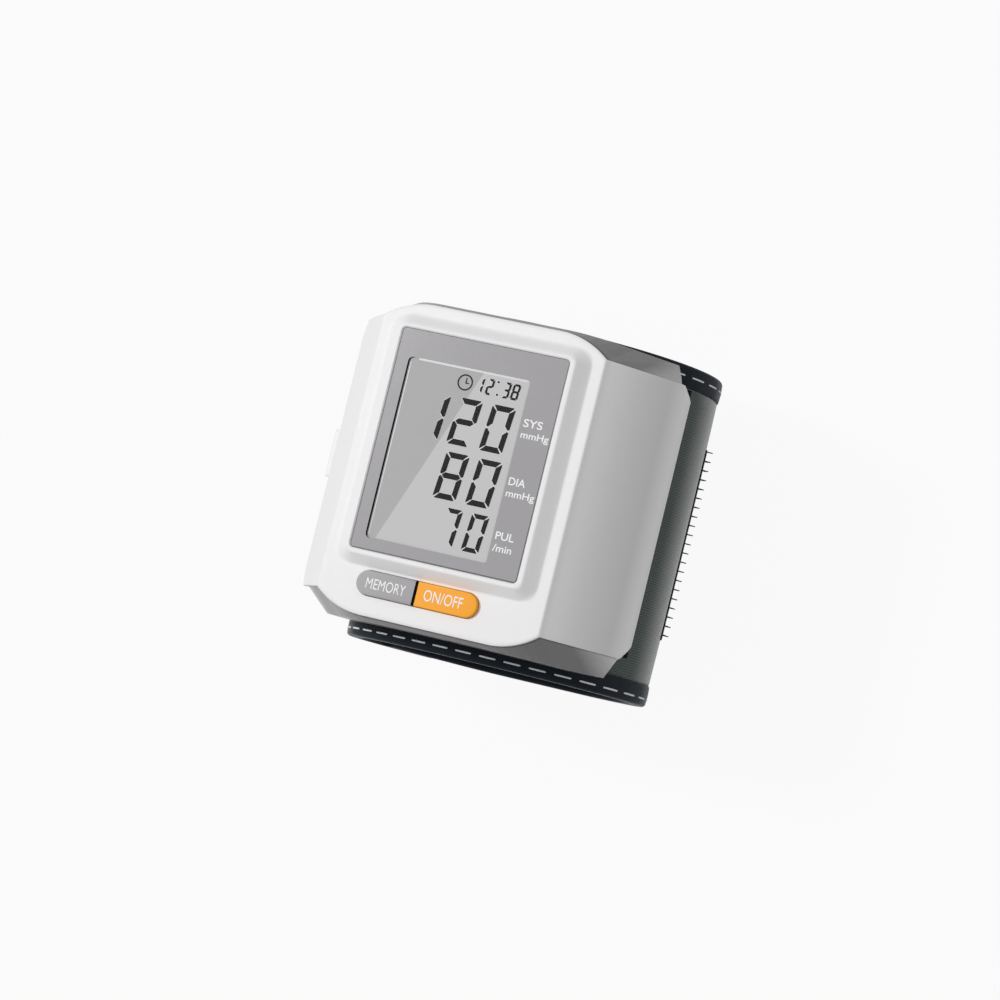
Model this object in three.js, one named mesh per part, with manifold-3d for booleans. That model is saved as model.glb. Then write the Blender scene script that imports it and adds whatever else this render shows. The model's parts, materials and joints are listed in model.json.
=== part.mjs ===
// Wrist blood pressure monitor: a housing with a display and two buttons on a closed wrist cuff.
// Millimetres. X is the display's right, Y its top edge and Z points out of the display. The part
// lies on the back of its cuff, with its origin under the middle of the cuff's flat at z = 0.
import * as THREE from 'three';
import { mergeVertices } from 'three/addons/utils/BufferGeometryUtils.js';
import Module from 'manifold-3d';

const wasm = await Module();
wasm.setup();

// Clearance between pieces, reach of every cut and depth of every join
const gap = 0.3;
const reach = 120;
const weld = 0.2;

// Cuff layers
const cuffRadius = 31.2;
const cuffWidth = 68.4;
const cuffShift = -0.8;
const cuffFlatHeight = 29.2;
const coverCloth = 0.8;
const formerWall = 1;
const formerMargin = 0.5;
const bladderWall = 1.8;
const bladderMargin = 4.5;
const liningCloth = 0.6;
const loopCloth = 0.6;
const hookWall = 0.5;
const hookWidth = 40;
const bindingWidth = 4.4;
const bindingProud = 0.2;
const bindingDepth = 3.4;
const cuffDrop = 13.1;

// Angles round the cuff, in degrees from the display's right, with 90 under the housing
const hingeAngle = 168;
const slitAngle = 0.4;
const bandEndAngle = -172;
const hookStartAngle = -19;
const hookEndAngle = -166;
const formerStartAngle = 160;
const formerEndAngle = -128;
const bladderStartAngle = 152;
const bladderEndAngle = 22;
const bladderTaperAngle = 10;
const tuckStartAngle = -112;
const tuckEndAngle = -136;
const flapEndAngle = 222;
const flapTapeAngle = 8;
const bandStepAngle = 7;

// Housing outline
const deckWidth = 47.8;
const deckLength = 62.2;
const wingRun = 11.9;
const wingDrop = 19.6;
const wingMargin = 3.7;
const shoulderRun = 10.4;
const wingCutAcross = 1.4;
const wingCutAlong = 2.9;
const caseMargin = 1.1;
const footDrop = 3.3;
const footInset = 4.3;
const footKneeAcross = 1;
const footKneeAlong = 0.3;
const footCornerAcross = 3.6;
const footCornerAlong = 3.9;
const endBevelShare = 0.33;
const shoulderSteps = 6;
const hollowSteps = 96;

// Walls
const coverWall = 1.5;
const coverLip = 0.6;
const caseWall = 1.5;
const floorWall = 1;

// Display frame on the deck
const frameHeight = 2.3;
const frameWidth = 43.2;
const frameMargin = 5.85;
const frameSlopeSide = 2.7;
const frameSlopeEnd = 1.6;
const frameFootCorner = 3.8;
const frameTopCorner = 1.9;
const frameShift = 3.5;
const frameRim = 0.9;
const cornerSteps = 4;

// Display window and what lies under it
const lensWall = 1;
const lensSink = 0.4;
const lensCorner = 0.9;
const lcdWidth = 26.4;
const lcdMargin = 6.55;
const lcdWall = 1.5;
const lcdShiftX = -2.4;
const lcdDrop = 1.5;
const lcdFrameWall = 1.1;
const lcdFrameBar = 1.6;
const stripWidth = 1.8;
const stripLength = 21;
const boardWall = 1;
const boardWidth = 40;
const chipSize = 8;
const chipHeight = 1.1;
const chipMargin = 0.95;
const buzzerRadius = 4.4;
const buzzerHeight = 2.4;
const sensorSize = 4.4;
const sensorHeight = 2.2;

// Buttons
const buttonRadius = 2.47;
const buttonLeft = -15.6;
const buttonRight = 10.4;
const buttonSplit = -2.9;
const buttonSlit = 0.6;
const buttonMargin = 6.23;
const buttonProud = 0.9;
const buttonEdge = 0.35;
const buttonFit = 0.2;
const buttonFlange = 0.7;
const buttonLip = 0.8;
const buttonTravel = 0.7;
const capSteps = 8;
const stemRadius = 0.9;
const stemLength = 2.4;
const stemShift = 2.3;
const memoryStemX = -5.6;
const powerStemX = 2.6;
const switchSize = 3.4;
const switchBody = 1;
const switchKnob = 0.4;
const switchRest = 0.9;
const buttonBoardEnd = 6;

// Middle frame
const bulkheadWall = 0.95;
const rimWall = 1;
const rimSink = 0.3;
const rimWidth = 3.2;
const rimCorner = 0.3;
const ribWall = 1.2;

// Cells and contacts
const cellRadius = 5.2;
const nubRadius = 1.9;
const nubLength = 0.8;
const outerCellRise = 0.4;
const plateWall = 0.4;
const plateHalf = 2.8;
const springRadius = 2.2;
const springRoom = 3;
const springWire = 0.3;
const springCurls = 3;
const curlSteps = 8;
const wireSides = 5;

// Battery door
const doorMargin = 3.4;
const doorWall = 1.3;
const doorTabLength = 9.7;
const doorTabReach = 1.3;
const doorTabWall = 1.2;
const doorTabSink = 0.1;
const knuckleSteps = 12;
const doorPinRadius = 0.6;
const doorPinLength = 1.2;
const doorPinFit = 0.25;
const earWidth = 2;
const earTop = 1.4;

// Pump, valve and air path
const motorRadius = 5.9;
const motorLength = 17;
const motorRoom = 9.45;
const shaftRadius = 0.8;
const shaftHold = 11;
const shaftReach = 3.4;
const eccentricRadius = 2;
const eccentricShift = 0.9;
const eccentricWall = 1.4;
const pumpLength = 11;
const pumpWall = 1.2;
const portRadius = 1;
const portReach = 2.2;
const nippleX = 3;
const nippleMargin = 3.7;
const nippleRadius = 1.6;
const nippleBore = 0.7;
const collarRadius = 2.6;
const collarWall = 0.8;
const manifoldWidth = 6.4;
const manifoldLength = 5;
const manifoldHeight = 3;
const nozzleReach = 0.8;
const hoseRadius = 1;
const hoseSides = 8;
const hoseSteps = 8;
const valveWidth = 7.4;
const valveLength = 11;
const valveHeight = 5;
const plungerRadius = 0.9;
const plungerReach = 2.4;
const plungerHold = 5;
const plungerTravel = 0.8;

// Case screws
const screwX = 18.2;
const screwMargin = 4.8;
const screwHeadRadius = 1.3;
const screwHeadHeight = 1;
const screwShankRadius = 0.6;
const screwLength = 9;
const screwFit = 0.25;
const bossRadius = 1.4;
const caseBossRadius = 2.3;
const bossSeat = 1.3;
const roundSteps = 16;

// Levels and places that follow from the sizes above
const deckHeight = cuffFlatHeight + hookWall + gap + cuffRadius + cuffDrop;
const cuffDepth = cuffRadius + cuffDrop;
const arcRadius = cuffRadius + bindingProud + gap;
const floorRadius = arcRadius + floorWall;
const wingAngle = Math.atan2(wingDrop, wingRun);
const wingHalf = deckWidth / 2 + wingRun;
const footHalf = wingHalf - footInset;
const lipDepth = wingDrop + coverLip;
const caseDepth = lipDepth + footDrop;
const rimTop = lipDepth + gap;
const wingLength = deckLength - 2 * wingMargin;
const caseLength = deckLength + 2 * caseMargin;
const doorLength = wingLength - 2 * doorMargin;
const frameLength = deckLength - 2 * frameMargin;
const lcdLength = frameLength - 2 * lcdMargin;
const lcdShiftY = frameShift - lcdDrop;
const buttonRowY = buttonMargin - deckLength / 2;
const stemY = buttonRowY + stemShift;
const screwY = caseLength / 2 - screwMargin;
const rimBottom = rimTop + rimWall;
const radians = Math.PI / 180;

// Materials
function plastic(name, color, roughness) {
  return new THREE.MeshStandardMaterial({ name, color, roughness, metalness: 0 });
}
function metal(name, color, roughness) {
  return new THREE.MeshStandardMaterial({ name, color, roughness, metalness: 1 });
}
const white = plastic('white plastic', 0xf0eff0, 0.3);
const grey = plastic('grey plastic', 0x8d8c8e, 0.35);
const black = plastic('black plastic', 0x141414, 0.5);
const windowGrey = plastic('window grey', 0xa5a3a6, 0.15);
const lcdGrey = plastic('display grey', 0xc4c4c4, 0.2);
const orange = plastic('orange button', 0xfca82d, 0.35);
const buttonGrey = plastic('grey button', 0xa5a3a6, 0.35);
const boardGreen = plastic('board green', 0x1e5b35, 0.5);
const copper = metal('brass plate', 0xc9a24a, 0.35);
const steel = metal('steel', 0xb8babd, 0.3);
const cellSkin = metal('cell jacket', 0x3c5a86, 0.35);
const rubber = plastic('rubber', 0x2a2a2c, 0.8);
const silicone = plastic('silicone', 0xd8d8d4, 0.5);
const cloth = plastic('woven cloth', 0x5a6462, 0.9);
const liningDark = plastic('lining cloth', 0x24282c, 0.95);
const tape = plastic('binding tape', 0x181e26, 0.85);
const hookBlack = plastic('hook strip', 0x101214, 0.8);
const stiffener = plastic('stiffener', 0xc9cbd0, 0.5);

// Closed geometry to a solid, and back to flat triangles
function solid(geometry) {
  const bare = geometry.index ? geometry.toNonIndexed() : geometry.clone();
  for (const name of Object.keys(bare.attributes)) {
    if (name !== 'position') bare.deleteAttribute(name);
  }
  const merged = mergeVertices(bare);
  const vertProperties = new Float32Array(merged.attributes.position.array);
  const triVerts = new Uint32Array(merged.index.array);
  return new wasm.Manifold(new wasm.Mesh({ numProp: 3, vertProperties, triVerts }));
}
function geometryOf(body) {
  const mesh = body.getMesh();
  const places = new THREE.BufferAttribute(new Float32Array(mesh.vertProperties), 3);
  const geometry = new THREE.BufferGeometry();
  geometry.setAttribute('position', places);
  geometry.setIndex(new THREE.BufferAttribute(new Uint32Array(mesh.triVerts), 1));
  const flat = geometry.toNonIndexed();
  flat.computeVertexNormals();
  return flat;
}
function place(group, name, body, material) {
  const mesh = new THREE.Mesh(geometryOf(body), material);
  mesh.name = name;
  group.add(mesh);
}

// A closed skin through rings of equal count, with a fan at each end. Each ring runs
// anticlockwise seen from the last ring's side.
function loft(rings) {
  const count = rings[0].length;
  const places = rings.flat().flatMap((point) => point.toArray());
  const faces = [];
  for (const ring of [rings[0], rings[rings.length - 1]]) {
    const sum = ring.reduce((total, point) => total.add(point), new THREE.Vector3());
    places.push(...sum.divideScalar(count).toArray());
  }
  const first = rings.length * count;
  const top = first - count;
  for (let k = 0; k < count; k += 1) {
    const next = (k + 1) % count;
    for (let row = 0; row < top; row += count) {
      faces.push(row + k, row + next, row + next + count);
      faces.push(row + k, row + next + count, row + k + count);
    }
    faces.push(first, next, k);
    faces.push(first + 1, top + k, top + next);
  }
  const geometry = new THREE.BufferGeometry();
  geometry.setAttribute('position', new THREE.Float32BufferAttribute(places, 3));
  geometry.setIndex(faces);
  return solid(geometry);
}

// An outline in X and Y made solid between two heights, or one in X and Z along Y
function prism(outline, low, high) {
  const settings = { depth: high - low, bevelEnabled: false };
  const geometry = new THREE.ExtrudeGeometry(new THREE.Shape(outline), settings);
  return solid(geometry.translate(0, 0, low));
}
function slabAlongY(outline, low, high) {
  const settings = { depth: high - low, bevelEnabled: false };
  const geometry = new THREE.ExtrudeGeometry(new THREE.Shape(outline), settings);
  return solid(geometry.rotateX(Math.PI / 2).translate(0, high, 0));
}
function box(lowX, lowY, lowZ, highX, highY, highZ) {
  const geometry = new THREE.BoxGeometry(highX - lowX, highY - lowY, highZ - lowZ);
  return solid(geometry.translate((lowX + highX) / 2, (lowY + highY) / 2, (lowZ + highZ) / 2));
}
function post(radius, x, y, low, high) {
  const geometry = new THREE.CylinderGeometry(radius, radius, high - low, roundSteps);
  return solid(geometry.rotateX(Math.PI / 2).translate(x, y, (low + high) / 2));
}
function rod(radius, x, z, low, high, steps = roundSteps) {
  const geometry = new THREE.CylinderGeometry(radius, radius, high - low, steps);
  return solid(geometry.translate(x, (low + high) / 2, z));
}
function peg(radius, y, z, low, high) {
  const geometry = new THREE.CylinderGeometry(radius, radius, high - low, roundSteps);
  return solid(geometry.rotateZ(Math.PI / 2).translate((low + high) / 2, y, z));
}

// Points of a rectangle with round corners
function roundedRectangle(lowX, lowY, highX, highY, corner, steps = cornerSteps) {
  const points = [];
  const centres = [
    [highX - corner, highY - corner],
    [lowX + corner, highY - corner],
    [lowX + corner, lowY + corner],
    [highX - corner, lowY + corner],
  ];
  centres.forEach(([x, y], quarter) => {
    for (let k = 0; k <= steps; k += 1) {
      const angle = (quarter + k / steps) * Math.PI / 2;
      const along = corner * Math.cos(angle);
      points.push(new THREE.Vector2(x + along, y + corner * Math.sin(angle)));
    }
  });
  return points;
}
function atHeight(outline, z) {
  return outline.map((point) => new THREE.Vector3(point.x, point.y, z));
}

// Half width at a depth of the wing's plane, moved in by a wall
function wingX(depth, inset) {
  return deckWidth / 2 + depth * wingRun / wingDrop - inset / Math.sin(wingAngle);
}
function foldX(inset) {
  return deckWidth / 2 - inset * Math.tan(wingAngle / 2);
}
function mirrored(right) {
  const left = right.map((point) => new THREE.Vector2(-point.x, point.y)).reverse();
  return [...right, ...left];
}
function meet(start, direction, other, otherDirection) {
  const offset = other.clone().sub(start);
  const share = offset.cross(otherDirection) / direction.cross(otherDirection);
  return start.clone().addScaledVector(direction, share);
}

// Cross-sections of the housing in X and Z: outside, under the cover, and inside the case
const outsideSection = mirrored([
  new THREE.Vector2(footHalf, -caseDepth),
  new THREE.Vector2(wingHalf, -lipDepth),
  new THREE.Vector2(wingHalf, -wingDrop),
  new THREE.Vector2(deckWidth / 2, 0),
]);
function coverSection(inset) {
  return mirrored([
    new THREE.Vector2(wingX(reach, inset), -reach),
    new THREE.Vector2(foldX(inset), -inset),
  ]);
}
function caseSection(grow) {
  const slant = new THREE.Vector2(footInset, caseDepth - lipDepth).normalize();
  const inset = caseWall + grow;
  const foot = new THREE.Vector2(footHalf - slant.y * inset, slant.x * inset - caseDepth);
  const floor = new THREE.Vector2(0, floorWall + grow - caseDepth);
  const wing = new THREE.Vector2(wingX(0, coverWall + grow), 0);
  return mirrored([
    meet(floor, new THREE.Vector2(1, 0), foot, slant),
    meet(foot, slant, wing, new THREE.Vector2(wingRun, -wingDrop)),
    new THREE.Vector2(foldX(coverWall + grow), -coverWall - grow),
  ]);
}
function throughout(section) {
  return slabAlongY(section, -reach, reach);
}

// One quarter of the edge between the cover and the end wall, with the end wall's foot below it
function edgeQuarter(inset) {
  const drop = (deckLength - wingLength) / 2;
  const radius = (shoulderRun * shoulderRun + drop * drop) / (2 * drop);
  const turn = Math.asin(shoulderRun / radius);
  const startX = deckWidth / 2 - shoulderRun;
  const endY = caseLength / 2 - inset;
  const quarter = [];
  for (let k = 0; k <= shoulderSteps; k += 1) {
    const angle = turn * k / shoulderSteps;
    const x = startX + radius * Math.sin(angle);
    const y = deckLength / 2 - radius * (1 - Math.cos(angle)) - inset;
    quarter.push({ x, y, z: 0, lowX: x, lowY: endY, lowZ: -(endY - y) / endBevelShare });
  }
  const side = wingHalf - inset;
  const knee = footHalf - inset;
  const wingY = wingLength / 2 - inset;
  quarter.push({
    x: knee,
    y: wingY,
    z: -wingDrop * (footHalf - deckWidth / 2) / wingRun,
    lowX: knee - footKneeAcross,
    lowY: endY - footKneeAlong,
    lowZ: -caseDepth,
  });
  quarter.push({
    x: side - wingCutAcross,
    y: wingY,
    z: -wingDrop * (wingRun - wingCutAcross) / wingRun,
    lowX: side - footCornerAcross,
    lowY: endY - footCornerAlong,
    lowZ: -caseDepth,
  });
  quarter.push({
    x: side,
    y: wingY - wingCutAlong,
    z: -wingDrop,
    lowX: side,
    lowY: wingY - wingCutAlong / 2,
    lowZ: -caseDepth,
  });
  return quarter;
}
function edgeRing(inset) {
  const quarter = edgeQuarter(inset);
  const turned = (sx, sy) => quarter.map((p) => ({
    ...p, x: sx * p.x, y: sy * p.y, lowX: sx * p.lowX, lowY: sy * p.lowY,
  }));
  return [
    ...turned(1, 1).reverse(),
    ...turned(-1, 1),
    ...turned(-1, -1).reverse(),
    ...turned(1, -1),
  ];
}
function insideEdge(grow) {
  const outline = edgeRing(-grow).map((p) => new THREE.Vector2(p.x, p.y));
  return prism(outline, -reach, reach);
}
function insideEnds(inset) {
  const ring = edgeRing(inset);
  return loft([
    ring.map((p) => new THREE.Vector3(p.lowX, p.lowY, -reach)),
    ring.map((p) => new THREE.Vector3(p.lowX, p.lowY, p.lowZ)),
    ring.map((p) => new THREE.Vector3(p.x, p.y, p.z)),
    ring.map((p) => new THREE.Vector3(p.x, p.y, reach)),
  ]);
}
function cuffHollow(radius) {
  return rod(radius, 0, -cuffDepth, -reach, reach, hollowSteps);
}
function arcDepth(radius, x) {
  return cuffDepth - Math.sqrt(radius * radius - x * x);
}
const outside = throughout(outsideSection).intersect(insideEnds(0));

// Levels under the deck
const lensTop = frameHeight - lensSink;
const lensBottom = lensTop - lensWall;
const lcdTop = lensBottom - gap;
const lcdBottom = lcdTop - lcdWall;
const lcdFrameTop = lcdBottom - gap;
const lcdFrameBottom = lcdFrameTop - lcdFrameWall;
const boardTop = lcdFrameBottom - gap;
const boardBottom = boardTop - boardWall;
const underBoard = boardBottom - gap;
const flangeTop = -coverWall - gap;
const flangeBottom = flangeTop - buttonFlange;
const stemBottom = flangeBottom - stemLength;
const switchTop = stemBottom - switchRest;
const switchFoot = switchTop - switchKnob - switchBody;
const buttonBoardTop = switchFoot - gap;

// Case screws and their bosses
const screwPlaces = [];
for (const sx of [1, -1]) {
  for (const sy of [1, -1]) screwPlaces.push([sx * screwX, sy * screwY]);
}
const screwHeadBottom = arcDepth(arcRadius, screwX - screwHeadRadius) - gap;
const screwHeadTop = screwHeadBottom - screwHeadHeight;
const caseBossTop = screwHeadTop - gap - bossSeat;
const coverBossEnd = caseBossTop - gap;
const screwTip = screwHeadTop - screwLength;

// Ends of the room for boards, pump and cells
const bulkheadOuter = screwY - bossRadius - gap;
const bulkheadInner = bulkheadOuter - bulkheadWall;
const roomEnd = bulkheadInner - gap;
const plateInner = roomEnd - plateWall;
const chipY = roomEnd - chipMargin - chipSize / 2;

// Cells lie between the board, the wing and the floor over the cuff
const cellReach = floorRadius + gap + cellRadius;
const innerCellZ = underBoard - cellRadius;
const innerCellX = -Math.sqrt(cellReach ** 2 - (cuffDepth + innerCellZ) ** 2);
function outerCellPlace() {
  const start = new THREE.Vector2(wingX(0, coverWall + gap + cellRadius), 0);
  const down = new THREE.Vector2(wingRun, -wingDrop).normalize();
  const offset = start.clone().sub(new THREE.Vector2(0, -cuffDepth));
  const along = offset.dot(down);
  const across = offset.lengthSq() - (cellReach + outerCellRise) ** 2;
  const travel = -along - Math.sqrt(Math.max(along * along - across, 0));
  return start.addScaledVector(down, travel);
}
const outerCell = outerCellPlace();
const cellPlus = plateInner - gap;
const cellLength = 2 * cellPlus - nubLength - springRoom;
const cellMinus = cellPlus - nubLength - cellLength;
const ribX = innerCellX + cellRadius + gap;

// Pump between the board and the floor, and the air path beside it
const motorZ = underBoard - motorRadius;
const motorX = Math.sqrt((floorRadius + gap + motorRadius) ** 2 - (cuffDepth + motorZ) ** 2);
const motorEndY = roomEnd - motorRoom;
const motorStart = motorEndY - motorLength;
const pumpEnd = motorStart - gap;
const nippleY = pumpEnd - nippleMargin;
const pumpStart = pumpEnd - pumpLength;
const manifoldBottom = underBoard - manifoldHeight;
const portZ = underBoard - manifoldHeight / 2;
const nozzleTip = nippleY + manifoldLength / 2 + nozzleReach;
const plungerTip = nozzleTip + gap + plungerTravel;
const valveStart = plungerTip + plungerReach;
const valveAxis = underBoard - valveHeight / 2;

// Battery door
const doorHalf = doorLength / 2;
const doorEdgeX = -Math.sqrt(arcRadius ** 2 - (cuffDepth - caseDepth) ** 2) - floorWall - gap;
const doorPinX = doorEdgeX - doorWall;
const doorPinZ = doorWall - caseDepth;
const earStart = doorHalf + gap;
const earEnd = earStart + doorPinLength + gap;

const housing = new THREE.Group();
housing.position.z = deckHeight;
const cuff = new THREE.Group();
cuff.position.set(0, cuffShift, deckHeight - cuffDepth);
const monitor = new THREE.Group();
monitor.add(housing, cuff);

// One button's outline: its part of a stadium split by a slit, grown by a distance
function buttonOutline(isLeft, grow) {
  const radius = buttonRadius + grow;
  const side = isLeft ? -1 : 1;
  const cut = buttonSplit + side * (buttonSlit / 2 - Math.min(grow, 0));
  const centre = isLeft ? buttonLeft + buttonRadius : buttonRight - buttonRadius;
  const points = [];
  for (let k = 0; k <= capSteps; k += 1) {
    const angle = Math.PI * (k / capSteps - side / 2);
    const along = radius * Math.cos(angle);
    points.push(new THREE.Vector2(centre + along, buttonRowY + radius * Math.sin(angle)));
  }
  points.push(new THREE.Vector2(cut, buttonRowY + side * radius));
  points.push(new THREE.Vector2(cut, buttonRowY - side * radius));
  return points;
}
function button(isLeft, stemX) {
  const edge = buttonOutline(isLeft, 0);
  const rim = buttonOutline(isLeft, -buttonEdge);
  const cap = loft([
    atHeight(edge, flangeTop - weld),
    atHeight(edge, buttonProud - buttonEdge),
    atHeight(rim, buttonProud),
  ]);
  const flange = prism(buttonOutline(isLeft, buttonLip), flangeBottom, flangeTop);
  return cap.add(flange).add(post(stemRadius, stemX, stemY, stemBottom, flangeBottom + weld));
}
place(housing, 'memory_button', button(true, memoryStemX), buttonGrey);
place(housing, 'power_button', button(false, powerStemX), orange);

// Front cover
function displayFrame() {
  const halfX = frameWidth / 2;
  const halfY = frameLength / 2;
  const topX = halfX - frameSlopeSide;
  const topY = halfY - frameSlopeEnd;
  const foot = roundedRectangle(
    -halfX, frameShift - halfY, halfX, frameShift + halfY, frameFootCorner,
  );
  const top = roundedRectangle(
    -topX, frameShift - topY, topX, frameShift + topY, frameTopCorner,
  );
  return loft([atHeight(foot, -weld), atHeight(foot, 0), atHeight(top, frameHeight)]);
}
function windowOutline(grow) {
  const halfX = frameWidth / 2 - frameSlopeSide - frameRim + grow;
  const halfY = frameLength / 2 - frameSlopeEnd - frameRim + grow;
  return roundedRectangle(-halfX, frameShift - halfY, halfX, frameShift + halfY, lensCorner);
}
function lcdRoom(grow, low, high) {
  const halfX = lcdWidth / 2 + grow;
  const halfY = lcdLength / 2 + grow;
  return box(lcdShiftX - halfX, lcdShiftY - halfY, low, lcdShiftX + halfX, lcdShiftY + halfY, high);
}
function buttonHole() {
  const radius = buttonRadius + buttonFit;
  const low = buttonRowY - radius;
  const high = buttonRowY + radius;
  const outline = roundedRectangle(
    buttonLeft - buttonFit, low, buttonRight + buttonFit, high, radius, capSteps,
  );
  return prism(outline, -reach, reach);
}
function frontCover() {
  let cover = outside
    .intersect(insideEdge(0))
    .subtract(throughout(coverSection(coverWall)))
    .subtract(box(-reach, -reach, -reach, reach, reach, -lipDepth))
    .add(displayFrame())
    .subtract(prism(windowOutline(0), lensBottom - gap, reach))
    .subtract(lcdRoom(gap, -reach, reach))
    .subtract(buttonHole());
  for (const [x, y] of screwPlaces) {
    cover = cover.add(post(bossRadius, x, y, -coverBossEnd, weld - coverWall));
    cover = cover.subtract(post(screwShankRadius + screwFit, x, y, -reach, gap - screwTip));
  }
  return cover;
}
place(housing, 'front_cover', frontCover(), white);

// Rear case
function ear(side, grow) {
  const near = side * (earStart - weld - grow);
  const far = side * (earEnd + grow);
  return box(
    doorPinX - earWidth - grow, Math.min(near, far), -caseDepth - grow,
    doorEdgeX + gap + weld + grow, Math.max(near, far), doorPinZ + earTop + grow,
  );
}
function rearCase() {
  const hollow = throughout(caseSection(0)).intersect(insideEnds(caseWall));
  const coverRoom = insideEdge(gap)
    .subtract(throughout(coverSection(coverWall + gap)))
    .subtract(box(-reach, -reach, -reach, reach, reach, -rimTop));
  let shell = outside.subtract(hollow.subtract(cuffHollow(floorRadius))).subtract(coverRoom);
  for (const [x, y] of screwPlaces) {
    shell = shell.add(post(caseBossRadius, x, y, -arcDepth(arcRadius, x), -caseBossTop));
  }
  shell = shell.subtract(cuffHollow(arcRadius));
  const slotHalf = wingLength / 2 + gap / 2;
  for (const side of [1, -1]) {
    const near = side * (wingHalf - rimSink - rimWidth - gap);
    const far = side * reach;
    const slot = box(
      Math.min(near, far), -slotHalf, -rimBottom - gap, Math.max(near, far), slotHalf, gap - rimTop,
    );
    shell = shell.subtract(slot).add(ear(side, 0));
    const pinHole = rod(
      doorPinRadius + doorPinFit, doorPinX, doorPinZ,
      Math.min(side * earStart, side * earEnd), Math.max(side * earStart, side * earEnd),
    );
    shell = shell.subtract(pinHole);
  }
  shell = shell.subtract(box(
    -reach, -doorHalf - gap, -reach, doorEdgeX + gap, doorHalf + gap, -wingDrop,
  ));
  for (const [x, y] of screwPlaces) {
    shell = shell.subtract(post(screwHeadRadius + gap, x, y, -reach, gap - screwHeadTop));
    shell = shell.subtract(post(screwShankRadius + screwFit, x, y, -reach, 0));
  }
  return shell.subtract(post(nippleRadius + gap, nippleX, nippleY, -reach, 0));
}
place(housing, 'rear_case', rearCase(), grey);

// Middle frame: bulkheads, a rib beside the inner cell and the rim under the wings
function rimOutline(side) {
  const edge = wingHalf - rimSink;
  const half = wingLength / 2 - weld;
  const points = [
    [edge - rimWidth, -half],
    [edge - rimCorner, -half],
    [edge, rimCorner - half],
    [edge, half - rimCorner],
    [edge - rimCorner, half],
    [edge - rimWidth, half],
  ];
  const outline = points.map(([x, y]) => new THREE.Vector2(side * x, y));
  return side > 0 ? outline : outline.reverse();
}
function middleFrame() {
  const room = throughout(caseSection(gap))
    .intersect(insideEnds(caseWall + gap))
    .subtract(cuffHollow(floorRadius + gap));
  let walls = box(
    ribX, -bulkheadInner - weld, -reach, ribX + ribWall, bulkheadInner + weld, underBoard,
  );
  for (const side of [1, -1]) {
    const low = Math.min(side * bulkheadInner, side * bulkheadOuter);
    const high = Math.max(side * bulkheadInner, side * bulkheadOuter);
    walls = walls.add(box(-reach, low, -reach, reach, high, reach));
  }
  const rim = prism(rimOutline(1), -rimBottom, -rimTop).add(
    prism(rimOutline(-1), -rimBottom, -rimTop)
      .subtract(box(-reach, -doorHalf - 2 * gap, -reach, 0, doorHalf + 2 * gap, reach)),
  );
  let frame = room.intersect(walls).add(rim.intersect(throughout(outsideSection)));
  frame = frame.subtract(box(
    buttonLeft - buttonLip - gap, -reach, flangeBottom - buttonTravel - gap,
    buttonRight + buttonLip + gap, 0, reach,
  ));
  for (const [x, y] of screwPlaces) {
    frame = frame.subtract(post(caseBossRadius + gap, x, y, -reach, gap - caseBossTop));
  }
  return frame.subtract(ear(1, gap)).subtract(ear(-1, gap));
}
place(housing, 'mid_frame', middleFrame(), black);

// Display
place(housing, 'display_lens', prism(windowOutline(-gap), lensBottom, lensTop), windowGrey);
place(housing, 'lcd_glass', lcdRoom(0, lcdBottom, lcdTop), lcdGrey);
place(
  housing,
  'lcd_frame',
  lcdRoom(0, lcdFrameBottom, lcdFrameTop).subtract(lcdRoom(-lcdFrameBar, -reach, reach)),
  black,
);
const stripY = lcdShiftY + lcdLength / 2 - lcdFrameBar - gap;
place(housing, 'elastomer_strip', box(
  lcdShiftX - stripLength / 2, stripY - stripWidth, lcdFrameBottom,
  lcdShiftX + stripLength / 2, stripY, lcdFrameTop,
), silicone);

// Boards and what they carry
const boardStart = buttonRowY + buttonRadius + buttonLip + 2 * gap;
place(housing, 'main_board', box(
  -boardWidth / 2, boardStart, boardBottom, boardWidth / 2, roomEnd, boardTop,
), boardGreen);
place(housing, 'controller_chip', box(
  nippleX - chipSize / 2, chipY - chipSize / 2, underBoard - chipHeight,
  nippleX + chipSize / 2, chipY + chipSize / 2, underBoard,
), black);
place(housing, 'buzzer', post(
  buzzerRadius, motorX - buzzerRadius / 2, roomEnd - buzzerRadius, underBoard - buzzerHeight, underBoard,
), black);
const sensorEnd = nippleX - manifoldWidth / 2 - gap;
place(housing, 'pressure_sensor', box(
  sensorEnd - sensorSize, nippleY - sensorSize / 2, underBoard - sensorHeight,
  sensorEnd, nippleY + sensorSize / 2, underBoard,
), black);
place(housing, 'button_board', box(
  ribX + ribWall + gap, -roomEnd, buttonBoardTop - boardWall,
  buttonBoardEnd, stemY + switchSize / 2 + gap, buttonBoardTop,
), boardGreen);
function pressSwitch(x) {
  const half = switchSize / 2;
  return box(x - half, stemY - half, switchFoot, x + half, stemY + half, switchFoot + switchBody)
    .add(post(stemRadius, x, stemY, switchFoot, switchTop));
}
place(housing, 'memory_switch', pressSwitch(memoryStemX), black);
place(housing, 'power_switch', pressSwitch(powerStemX), black);

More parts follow.
